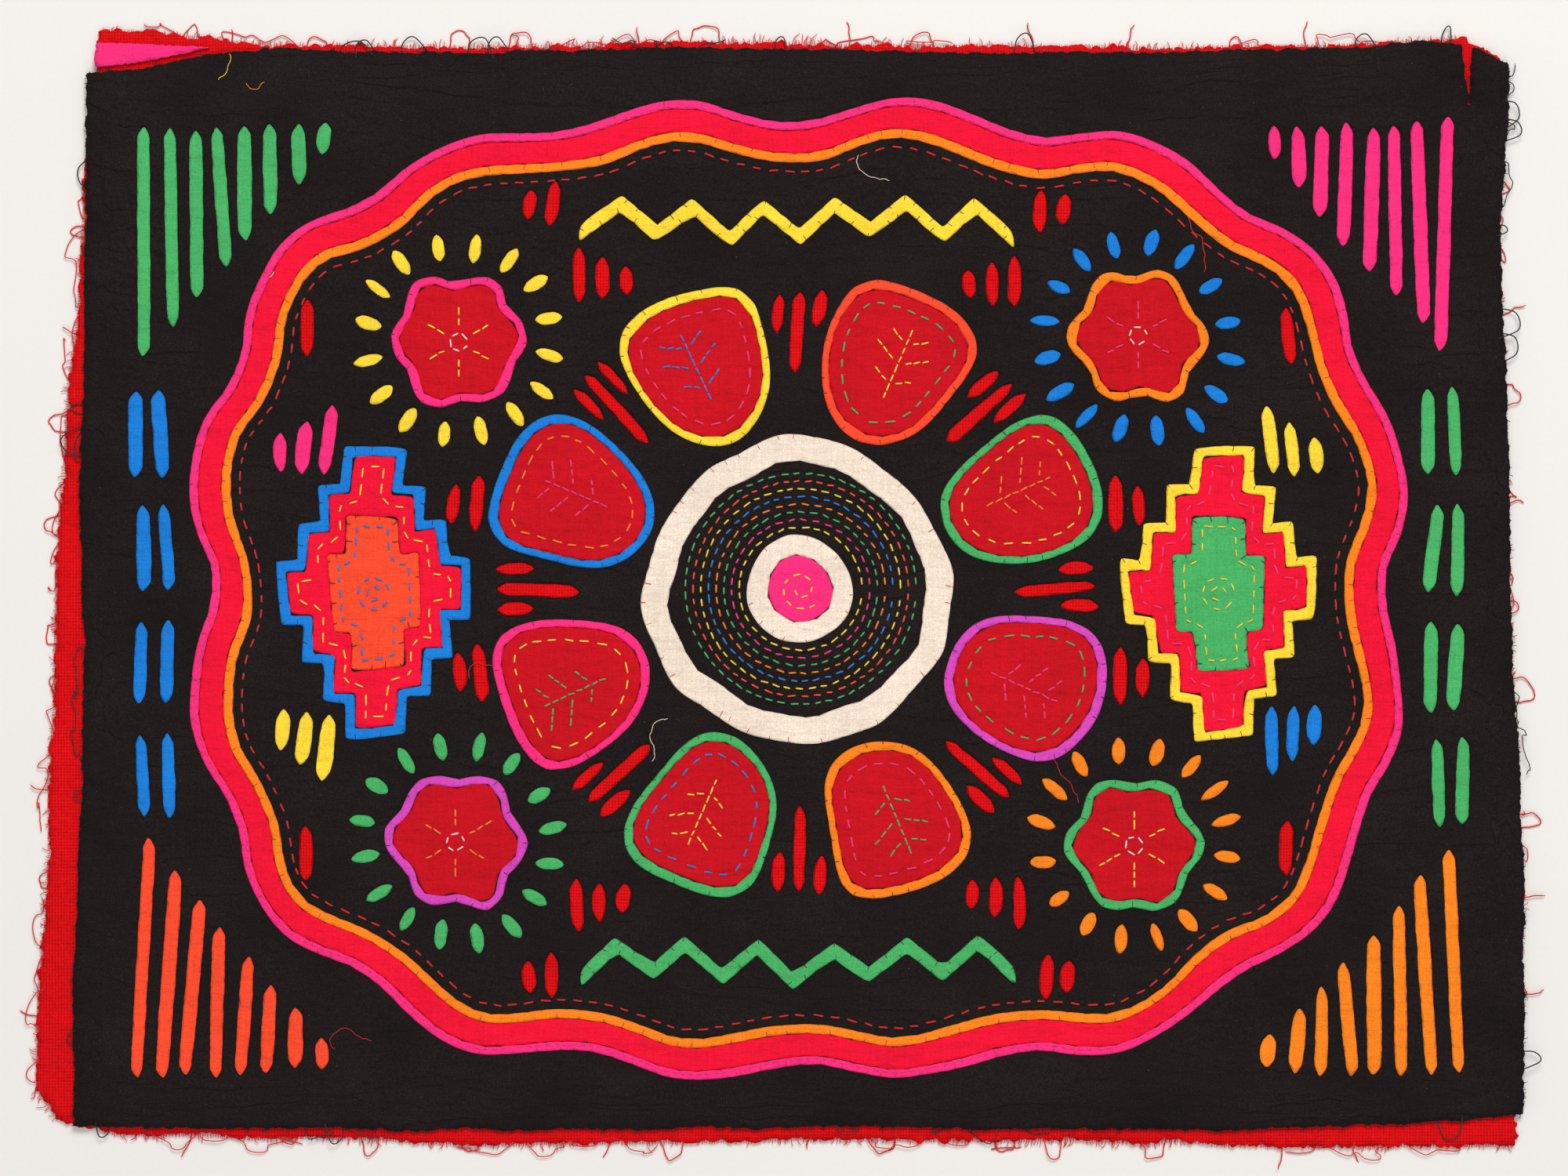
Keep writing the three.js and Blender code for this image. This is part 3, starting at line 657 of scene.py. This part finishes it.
def make_inlay(node, holes, top, under, spacing, margin_spacing=None):
    if margin_spacing:
        outline = raw_loop(smooth_loop(node_loops(node)[0], 0.7, TORN_CORNER), rng, 0.25, 0.9, 1.0)
    else:
        outline = raw_loop(smooth_loop(node_loops(node)[0], 1.3), rng)
    tree = line_tree(holes)
    edge_tree = line_tree([outline])
    under_cloth = near_points(holes, tree, rows=(0.02, 0.55, 1.2))
    in_window = near_points(holes, tree, rows=(0.45, 0.95, 1.5), side=-1)
    grid = spread_points([outline], edge_tree, spacing, spacing * 0.6)
    grid = grid[distances(grid, tree) > 1.0]
    extra = [under_cloth, in_window, grid]
    if margin_spacing:
        fine = spread_points([outline], edge_tree, margin_spacing, margin_spacing * 0.6)
        extra.append(fine[distances(fine, edge_tree) < MARGIN_WIDTH])
    extra = np.concatenate(extra)
    extra = extra[inside(extra, [outline])]

    def top_of(points):
        ripple = INLAY_RIPPLE * ripples(points, scale=4.0, seed=5.1)
        return top + lies(points) + swelling(points, holes, tree, top) + ripple

    def under_of(points):
        return np.full(len(points), under)

    piece = closed_sheet(node + "_piece", [outline], extra, top_of, under_of)
    return dress(piece, node)


def make_inlays():
    patches = [n for n in nodes_by_name if n.startswith("patch_")]
    covered = np.zeros(len(windows), bool)
    middles = np.array([w.mean(0) for w in windows])
    for node in patches:
        over = inside(middles, [node_loops(node)[0]])
        covered |= over
        holes = [w for w, o in zip(windows, over) if o]
        make_inlay(node, holes, top=PATCH_TOP - 0.1, under=PATCH_TOP - 0.8, spacing=4.0)
    holes = [w for w, c in zip(windows, covered) if not c]
    return make_inlay("base_cloth", holes, top=BASE_TOP - 0.1, under=0.02, spacing=6.0, margin_spacing=2.0)


def make_scrap():
    outline = raw_loop(smooth_loop(node_loops("corner_scrap")[0], 1.0), rng)
    tree = line_tree([outline])
    grid = spread_points([outline], tree, spacing=1.6, clear=0.8)
    piece = closed_sheet(
        "corner_scrap_piece",
        [outline],
        grid,
        lambda p: PATCH_TOP - 0.2 + lies(p) + 0.35 * ripples(p, scale=6.0, seed=9.4),
        lambda p: np.full(len(p), PATCH_TOP - 1.0),
    )
    return dress(piece, "corner_scrap")


# Stitches and threads
class Threads:
    """Collects tubes of thread and makes one mesh of them."""

    def __init__(self, name, sides=6):
        self.name = name
        self.sides = sides
        self.vertices = []
        self.faces = []

    def add(self, path, radius, taper=0.6):
        path = np.asarray(path, float)
        along = unit(np.gradient(path, axis=0))
        up = np.array([0.0, 0.0, 1.0])
        aside = unit(np.cross(along, up) + np.array([1e-6, 0, 0]))
        rise = np.cross(aside, along)
        first = len(self.vertices)
        count = len(path)
        for k in range(count):
            thick = radius * (taper if k in (0, count - 1) else 1.0)
            for s in range(self.sides):
                angle = 2 * math.pi * s / self.sides
                offset = aside[k] * math.cos(angle) + rise[k] * math.sin(angle)
                self.vertices.append(tuple(path[k] + thick * offset))
        for k in range(count - 1):
            for s in range(self.sides):
                a = first + k * self.sides + s
                b = first + k * self.sides + (s + 1) % self.sides
                self.faces.append((a, b, b + self.sides, a + self.sides))
        last = first + (count - 1) * self.sides
        self.faces.append(tuple(range(first + self.sides - 1, first - 1, -1)))
        self.faces.append(tuple(range(last, last + self.sides)))

    def make(self, colour, node=None):
        piece = mesh_object(self.name, self.vertices, self.faces)
        piece.data.materials.append(thread_material(colour))
        if node:
            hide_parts(node)
        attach(piece, "root")
        return piece


stitch_threads = {}


def stitches_of(colour):
    if colour not in stitch_threads:
        stitch_threads[colour] = Threads("stitches_" + colour)
    return stitch_threads[colour]


def stitch(colour, a, b, height, radius=THREAD):
    """One stitch lying on the cloth from a to b, its ends sunk into the cloth."""
    share, lift = np.array(STITCH_PATH).T
    line = a + (b - a) * share[:, None]
    z = np.array([height(p) for p in line]) + lift
    stitches_of(colour).add(np.column_stack([line, z]), radius)


def running_stitches(colour, line, height, length=3.0, gap=1.7, closed=False):
    """Stitches along a line of points, a little uneven."""
    if closed:
        line = np.concatenate([line, line[:1]])
    run = run_of(line)
    at = rng.uniform(0, gap)
    while at + length < run[-1]:
        ends = [at, at + length * rng.uniform(0.8, 1.15)]
        a, b = point_at(line, run, ends)
        wobble = np.array([0.0, rng.uniform(-0.25, 0.25)])
        stitch(colour, a + wobble, b - wobble, height)
        at = ends[1] + gap * rng.uniform(0.75, 1.3)


# Applique pieces
def applique_height(point):
    return APPLIQUE_TOP - FIELD_DROP + lie(point[0], point[1])


def edging_height(point):
    return APPLIQUE_TOP + lie(point[0], point[1]) - 0.08


def ground_height(point):
    return GROUND_TOP + lie(point[0], point[1]) + 0.05


# How far each kind of piece swells between its edges
PUFF = {
    "band": 0.06,
    "petal": 0.14,
    "diamond": 0.1,
    "blossom": 0.12,
    "collar": 0.12,
    "heart": 0.1,
    "zigzag": 0.06,
}


PUFF_RUN = 2.2
HEM_PUCKER = 0.12
CLOTH_RIPPLE = 0.18
SEWN_DIP = 0.22


def make_applique(node, sewn_lines=()):
    """A turned-under cloth, puffed between its hem stitches and drawn in along sewn lines."""
    loops = []
    hems = []
    for loop in node_loops(node):
        hemmed, at = hemmed_loop(smooth_loop(loop), rng)
        loops.append(hemmed)
        hems.append(at)
    tree = line_tree(loops)
    sewn = line_tree(sewn_lines, closed=False) if len(sewn_lines) else None
    seed = float(nodes_by_name.index(node))
    puff = PUFF[node.split("_")[0]]
    rows = near_points(loops, tree)
    spacing = 1.3 if sewn else 1.7
    extra = np.concatenate([rows, spread_points(loops, tree, spacing, clear=1.9)])

    top = APPLIQUE_TOP - (FIELD_DROP if node.endswith(("_cloth", "_core", "_crimson")) else 0.0)

    def top_of(points):
        away = distances(points, tree)
        z = top + lies(points) + puff * (1 - np.exp(-away / PUFF_RUN)) - fold_drop(away)
        pucker = HEM_PUCKER * np.exp(-away / 3.5) * np.clip(away / 0.5, 0, 1)
        z += pucker * ripples(points, scale=2.6, seed=seed)
        z += CLOTH_RIPPLE * ripples(points * np.array([0.6, 1.0]), scale=3.2, seed=seed + 40)
        if sewn:
            z -= SEWN_DIP * np.exp(-(distances(points, sewn) ** 2))
        return z

    def under_of(points):
        return APPLIQUE_UNDER - 0.05 + lies(points)

    piece = closed_sheet(node + "_piece", loops, extra, top_of, under_of)
    dress(piece, node)
    return loops, hems


def hem_stitches(loops, hems, colour, width=1.9):
    """Short stitches that cross an edging from its folded edge, flush with the cloth."""
    loop, at = loops[0], hems[0]
    normal = left_normals(loop)
    for i in at:
        if rng.random() < 0.3:
            continue
        slant = left_of(normal[i]) * rng.uniform(-0.5, 0.5)
        end = loop[i] + normal[i] * width * rng.uniform(0.4, 1.0) + slant
        start = loop[i] - normal[i] * 0.15
        level = APPLIQUE_TOP + lie(*loop[i])
        path = [(*(start + (end - start) * share), level + rise) for share, rise in HEM_PATH]
        stitches_of(colour).add(path, FINE_THREAD)


def centre_of(node):
    low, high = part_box(node)
    return np.array([(low.x + high.x) / 2, (low.y + high.y) / 2]) / MM


def inner_line(node, inset, step=0.8):
    """A line that runs inside a cloth's outer edge."""
    loop = smooth_loop(node_loops(node)[0], step)
    line = loop + left_normals(loop) * inset
    tree = line_tree([loop])
    return line[distances(line, tree) > inset * 0.93]


def make_band():
    for node in ("band_pink", "band_crimson", "band_orange"):
        loops, hems = make_applique(node)
        if node != "band_crimson":
            hem_stitches(loops, hems, "garnet")
    inner_edge = smooth_loop(node_loops("band_orange")[1], 0.8)
    beside = inner_edge - left_normals(inner_edge) * 2.7
    running_stitches("red", beside, ground_height, length=2.8, gap=1.9, closed=True)
    seam = inner_line("band_pink", 1.75)
    running_stitches("pink", seam, edging_height, length=1.7, gap=0.8, closed=True)


FLOWER = centre_of("heart_disc")
FIELD_RINGS = ("yellow", "pink", "green", "orange", "blue", "yellow", "coral", "green")
FIELD_FIRST = 17.6
FIELD_STEP = 2.2


def ring_line(centre, radius):
    angle = np.linspace(0, 2 * math.pi, int(radius * 6), endpoint=False)
    return centre + radius * np.stack([np.cos(angle), np.sin(angle)], 1)


def make_flower_heart():
    reach = np.arange(1.5, 6.5, 0.12)[:, None]
    spiral = FLOWER + reach * np.concatenate([np.cos(1.9 * reach), np.sin(1.9 * reach)], 1)
    make_applique("heart_disc", [spiral])
    running_stitches("yellow", spiral, applique_height, length=2.2, gap=1.2)
    for node, width in (("heart_ring", 2.0), ("collar_ring", 2.6)):
        loops, hems = make_applique(node)
        hem_stitches(loops, hems, "garnet", width)
    for k, colour in enumerate(FIELD_RINGS):
        ring = ring_line(FLOWER, FIELD_FIRST + k * FIELD_STEP)
        running_stitches(colour, ring, ground_height, length=2.2, gap=1.3, closed=True)


PETAL_STITCHES = ("yellow", "green", "pink", "orange", "yellow", "blue", "pink", "green")
PETALS = len(PETAL_STITCHES)


def feather(node, centre, spread, reach, count):
    """A stem with slanting side lines, as hand stitched veins."""
    middle = centre_of(node)
    out = unit(middle - centre)
    side = left_of(out)
    start = middle - out * reach
    lines = [np.array([start + out * t for t in np.arange(0, 2 * reach, 0.8)])]
    for k in range(count):
        root = start + out * (2 * reach) * (k + 0.7) / (count + 0.6)
        width = spread * math.sin(math.pi * (k + 1) / (count + 1.2))
        for hand in (1, -1):
            tip = root + side * hand * width + out * width * 0.55
            lines.append(np.array([root + (tip - root) * t for t in np.linspace(0.18, 1, 12)]))
    return lines


def make_petals():
    for number in range(1, PETALS + 1):
        cloth = f"petal_{number}_cloth"
        loops, hems = make_applique(f"petal_{number}_edging")
        hem_stitches(loops, hems, "black")
        rim = inner_line(cloth, 3.6)
        veins = feather(cloth, FLOWER, spread=9.5, reach=11.0, count=3)
        make_applique(cloth, [rim, *veins])
        running_stitches(PETAL_STITCHES[number - 1], rim, applique_height, length=2.8, gap=1.9, closed=True)
        colour = PETAL_STITCHES[(number + 2) % PETALS]
        for line in veins:
            running_stitches(colour, line, applique_height, length=2.1, gap=0.5)


def make_diamonds():
    for side, outer, inner in (("left", "yellow", "blue"), ("right", "pink", "yellow")):
        loops, hems = make_applique(f"diamond_{side}_edging")
        hem_stitches(loops, hems, "black")
        rim = inner_line(f"diamond_{side}_cloth", 2.9)
        make_applique(f"diamond_{side}_cloth", [rim])
        running_stitches(outer, rim, applique_height, length=2.8, gap=1.8, closed=True)
        core = inner_line(f"diamond_{side}_core", 2.8)
        centre = centre_of(f"diamond_{side}_core")
        rings = [ring_line(centre, radius) for radius in (2.2, 4.6)]
        loops, hems = make_applique(f"diamond_{side}_core", [core, *rings])
        hem_stitches(loops, hems, "black")
        for line in (core, *rings):
            running_stitches(inner, line, applique_height, length=2.4, gap=1.5, closed=True)


def star(centre, inner, outer, count):
    lines = []
    for k in range(count):
        angle = 2 * math.pi * (k + 0.5) / count
        way = np.array([math.cos(angle), math.sin(angle)])
        lines.append(np.array([centre + way * r for r in np.arange(inner, outer, 0.7)]))
    return lines


def make_blossoms():
    plan = (("top_left", "yellow"), ("top_right", "pink"), ("low_left", "orange"), ("low_right", "yellow"))
    for name, colour in plan:
        loops, hems = make_applique(f"blossom_{name}_edging")
        hem_stitches(loops, hems, "black")
        cloth = f"blossom_{name}_cloth"
        rays = star(centre_of(cloth), inner=4.5, outer=12.5, count=6)
        eye = ring_line(centre_of(cloth), 2.6)
        make_applique(cloth, [*rays, eye])
        for line in rays:
            running_stitches(colour, line, applique_height, length=2.3, gap=0.5)
        running_stitches("cream", eye, applique_height, length=2.2, gap=1.0, closed=True)


def make_zigzags():
    for node in ("zigzag_top", "zigzag_bottom"):
        loops, hems = make_applique(node)
        hem_stitches(loops, hems, "black")


# Frayed edges
FRAY_LEAST = 3.0
FRAY_MOST = 7.5
FRAY_ROOT = 1.1
FRAY_SPREAD = 9.0
FRAY_EVERY = 2
FRAY_BEND = 1.3
FRAY_RADIUS = 0.2
LOOSE_SHARE = 0.4
BASE_SALT = 1
SIDES = ("top", "right", "bottom", "left")
CORNER_WAYS = ((-1, 1), (1, 1), (1, -1), (-1.3, -1))  # top left, top right, low right, low left

# Long threads pulled out beside each raw edge: where each starts, as a share of the edge, and its length
PULLED_RED = {
    "top": ((0.03, 45), (0.3, 60), (0.52, 40), (0.8, 55)),
    "right": ((0.12, 30), (0.4, 45), (0.72, 60)),
    "bottom": ((0.04, 50), (0.35, 45), (0.6, 60), (0.86, 50)),
    "left": ((0.03, 60), (0.28, 50), (0.5, 75), (0.74, 70)),
}
PULLED_BLACK = ((0.06, 40), (0.3, 35), (0.5, 45), (0.62, 30), (0.8, 40), (0.93, 35))
PULLED_OUT = 1.0
PULLED_REACH = 5.0


def scatter(i, salt):
    """A repeatable value from 0 to 1, the same as the one that placed the solids' threads."""
    value = math.sin(i * 12.9898 + salt * 78.233) * 43758.5453
    return value - math.floor(value)


def base_sides():
    """The base cloth's four raw edges, clockwise from the top left corner."""
    outline = node_loops("base_cloth")[0][::-1]
    corners = [int(np.argmax(outline @ np.array(way))) for way in CORNER_WAYS]
    sides = []
    for k, first in enumerate(corners):
        last = corners[(k + 1) % 4]
        count = (last - first) % len(outline)
        sides.append(np.array([outline[(first + i) % len(outline)] for i in range(count)]))
    return sides


def fray_path(root, along, i, salt):
    """A loose end or a loop beside the edge, a little out of its even place."""
    out = left_of(along)
    root = root + along * rng.uniform(-8, 8)
    reach = (FRAY_LEAST + (FRAY_MOST - FRAY_LEAST) * scatter(i, salt)) * rng.uniform(0.5, 1.0)
    spread = FRAY_SPREAD * (0.6 + 0.4 * scatter(i, salt + 1)) * rng.uniform(0.5, 1.1)
    if scatter(i, salt + 2) < LOOSE_SHARE:
        lean = spread * (scatter(i, salt + 3) - 0.5)
        rows = [(0, -1.5), (lean * 0.2, reach * 0.5), (lean, reach + FRAY_ROOT)]
    else:
        rows = [
            (-spread / 2, -1.2),
            (-spread * 0.45, reach * 0.6),
            (-spread * 0.1, reach),
            (spread * 0.3, reach * 0.8),
            (spread / 2, -1.2),
        ]
    return [root + along * a + out * o for a, o in rows]


def curve_through(points, step=0.7):
    """An open smooth line through a few points."""
    points = np.asarray(points)
    padded = np.concatenate([[2 * points[0] - points[1]], points, [2 * points[-1] - points[-2]]])
    made = []
    for i in range(1, len(padded) - 2):
        a, b, c, d = padded[i - 1 : i + 3]
        count = max(2, int(np.linalg.norm(c - b) / step))
        for u in np.arange(count) / count:
            bend = (2 * a - 5 * b + 4 * c - d) * u**2 + (3 * b - a - 3 * c + d) * u**3
            made.append(0.5 * (2 * b + (c - a) * u + bend))
    made.append(points[-1])
    return np.array(made)


def pulled_thread(edge, start, length, seed):
    """A thread that wanders along a raw edge, now outside it and now under the cloth."""
    run = run_of(edge)
    at = start * run[-1] + np.arange(0, length, 0.6)
    line = point_at(edge, run, at[at < run[-1]])
    way = unit(np.gradient(line, axis=0))
    reach = PULLED_OUT + PULLED_REACH * ripples(line, scale=5.5, seed=seed)
    sway = PULLED_REACH * ripples(line, scale=4.0, seed=seed + 5.3)
    return line + left_of(way) * reach[:, None] + way * sway[:, None]


def thread_heights(count, low, high):
    """A lazy rise and fall along a loose thread."""
    phase = rng.uniform(0, 6)
    wave = 0.5 + 0.5 * np.sin(np.linspace(0, 3.5, count) + phase)
    return low + (high - low) * wave


def short_ends(threads, edge, z, pitch, least, most, radius, inwards):
    """Many short thread ends that stand out of a raw edge."""
    run = run_of(edge)
    at = 0.5
    while at < run[-1]:
        root = point_at(edge, run, at)
        way = unit(point_at(edge, run, at + 2) - root + np.array([1e-6, 0]))
        out = left_of(way)
        thick = 0.5 + noise.noise(Vector((root[0] / 9, root[1] / 9, 4.2)))
        reach = least + (most - least) * max(0.05, thick) * rng.random() ** 3
        lean = rng.uniform(-0.8, 0.8) * reach
        halfway = root + out * reach * 0.5 + way * lean * 0.2
        line = [root - out * inwards, halfway, root + out * reach + way * lean]
        path = curve_through(line, 0.8)
        heights = z + np.linspace(0.15, -0.1, len(path)) + rng.uniform(-0.1, 0.15)
        threads.add(np.column_stack([path, heights]), radius)
        at += pitch * rng.uniform(0.5, 1.5)


def make_fray():
    for k, (name, side) in enumerate(zip(SIDES, base_sides())):
        salt = BASE_SALT + k
        edge = side[1:]
        threads = Threads(f"fray_{name}_threads", sides=5)
        for i in range(FRAY_EVERY, len(edge) - FRAY_EVERY, FRAY_EVERY):
            path = curve_through(fray_path(edge[i], unit(edge[i + 1] - edge[i - 1]), i, salt))
            bend = [ripples(path, scale=3.1, seed=i + 0.3), ripples(path, scale=3.1, seed=i + 9.3)]
            path = path + FRAY_BEND * np.stack(bend, 1)
            heights = thread_heights(len(path), low=0.3, high=1.1)
            threads.add(np.column_stack([path, heights]), FRAY_RADIUS)
        for n, (start, length) in enumerate(PULLED_RED[name]):
            path = curve_through(pulled_thread(side, start, length, 20.7 + 3 * k + 17 * n)[::2])
            heights = thread_heights(len(path), low=0.3, high=1.2)
            threads.add(np.column_stack([path, heights]), radius=0.17)
        short_ends(threads, side, z=0.75, pitch=0.6, least=0.3, most=3.0, radius=0.12, inwards=1.2)
        threads.make("red", f"fray_{name}")


def make_black_fray():
    threads = Threads("ground_fray", sides=5)
    edge = ground_rim[::-1]
    rim = np.concatenate([edge, edge[:1]])
    short_ends(threads, rim, z=RIM_TOP - 0.25, pitch=1.0, least=0.15, most=1.8, radius=0.1, inwards=1.0)
    for n, (start, length) in enumerate(PULLED_BLACK):
        path = curve_through(pulled_thread(edge, start, length, 60.3 + 7 * n)[::2])
        heights = thread_heights(len(path), low=1.3, high=2.3)
        threads.add(np.column_stack([path, heights]), radius=0.16)
    for _ in range(26):
        i = rng.randrange(len(edge))
        way = unit(edge[(i + 3) % len(edge)] - edge[i])
        out = left_of(way)
        spread = rng.uniform(3, 10)
        reach = rng.uniform(1.5, 5.5)
        rows = [(-spread / 2, -1.5), (-spread * 0.4, reach * 0.7), (spread * 0.1, reach), (spread / 2, -1.2)]
        path = curve_through([edge[i] + way * a + out * o for a, o in rows])
        heights = thread_heights(len(path), low=1.4, high=2.6)
        threads.add(np.column_stack([path, heights]), FRAY_RADIUS)
    threads.make("black")


LOOSE_THREADS = (
    # where a stray thread lies on the face, how long it is and its colour
    {"x": -70, "y": -22, "length": 26, "colour": "red"},
    {"x": -38, "y": -48, "length": 16, "colour": "cream"},
    {"x": 84, "y": -60, "length": 22, "colour": "garnet"},
    {"x": -150, "y": 88, "length": 18, "colour": "cream"},
    {"x": 120, "y": 92, "length": 20, "colour": "red"},
    {"x": 30, "y": 118, "length": 14, "colour": "cream"},
    {"x": -118, "y": -128, "length": 18, "colour": "garnet"},
    {"x": -162, "y": 147, "length": 9, "colour": "yellow"},
    {"x": -154, "y": 146, "length": 7, "colour": "orange"},
)


def make_loose_threads():
    for row in LOOSE_THREADS:
        way = rng.uniform(0, 2 * math.pi)
        at = np.array([row["x"], row["y"]], float)
        line = [at]
        for _ in range(row["length"] * 2):
            way += rng.uniform(-0.45, 0.45)
            at = at + 0.5 * np.array([math.cos(way), math.sin(way)])
            line.append(at)
        line = np.array(line)
        z = ground_level(line) + 0.25
        stitches_of(row["colour"]).add(np.column_stack([line, z]), STRAY_THREAD)


# Build
make_ground()
make_inlays()
make_scrap()
make_band()
make_flower_heart()
make_petals()
make_diamonds()
make_blossoms()
make_zigzags()
make_fray()
make_black_fray()
make_loose_threads()
for colour in sorted(stitch_threads):
    stitch_threads[colour].make(colour)


def cut_area(node):
    """Flat area of a cloth without holes, in square metres."""
    loop = node_loops(node)[0]
    after = np.roll(loop, -1, 0)
    return abs(float((loop[:, 0] * after[:, 1] - loop[:, 1] * after[:, 0]).sum())) / 2 * MM * MM


def declare_sheets():
    fields = [n for n in nodes_by_name if n.startswith(("petal", "blossom")) and n.endswith("_cloth")]
    fields += ["diamond_left_core", "diamond_right_core", "heart_disc"]
    for node in fields:
        cut_area(node)
    patches = [n for n in nodes_by_name if n.startswith("patch_")]
    for node in patches:
        cut_area(node)


declare_sheets()
ground_low, ground_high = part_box("ground_cloth")


# Floor, light and camera
FLOOR_REACH = 9000.0
FLOOR_TOP = -0.05
LIGHTS = (
    {"name": "key", "place": (0.25, 1.2, 1.6), "size": 1.0, "energy": 28.5, "colour": (1.0, 0.985, 0.97)},
    {"name": "fill", "place": (-0.05, -0.9, 1.3), "size": 1.4, "energy": 7.0, "colour": (0.96, 0.98, 1.0)},
)
WORLD_COLOUR = (1.0, 0.99, 0.98, 1)
WORLD_STRENGTH = 0.42


def make_floor():
    around = ((-1, -1), (1, -1), (1, 1), (-1, 1))
    corners = [(x * FLOOR_REACH, y * FLOOR_REACH, FLOOR_TOP) for x, y in around]
    floor = mesh_object("floor", corners, [(0, 1, 2, 3)])
    floor.data.materials.append(paper())


def make_light(name, place, size, energy, colour):
    data = bpy.data.lights.new(name, "AREA")
    data.shape = "DISK"
    data.size = size
    data.energy = energy
    data.color = colour
    light = bpy.data.objects.new(name, data)
    light.location = place
    light.rotation_euler = (-Vector(place)).to_track_quat("-Z", "Y").to_euler()
    bpy.context.scene.collection.objects.link(light)


def make_camera():
    middle = (ground_low + ground_high) / 2
    data = bpy.data.cameras.new("camera")
    data.lens = LENS
    data.sensor_width = SENSOR
    camera = bpy.data.objects.new("camera", data)
    height = PHOTO_WIDTH * MM * LENS / SENSOR
    camera.location = (middle.x - GROUND_IN_PHOTO[0] * MM, middle.y - GROUND_IN_PHOTO[1] * MM, height)
    bpy.context.scene.collection.objects.link(camera)
    bpy.context.scene.camera = camera


make_floor()
for row in LIGHTS:
    make_light(**row)
make_camera()
scene = bpy.context.scene
world = bpy.data.worlds.new("studio")
world.use_nodes = True
world.node_tree.nodes["Background"].inputs["Color"].default_value = WORLD_COLOUR
world.node_tree.nodes["Background"].inputs["Strength"].default_value = WORLD_STRENGTH
scene.world = world
scene.view_settings.view_transform = "Standard"
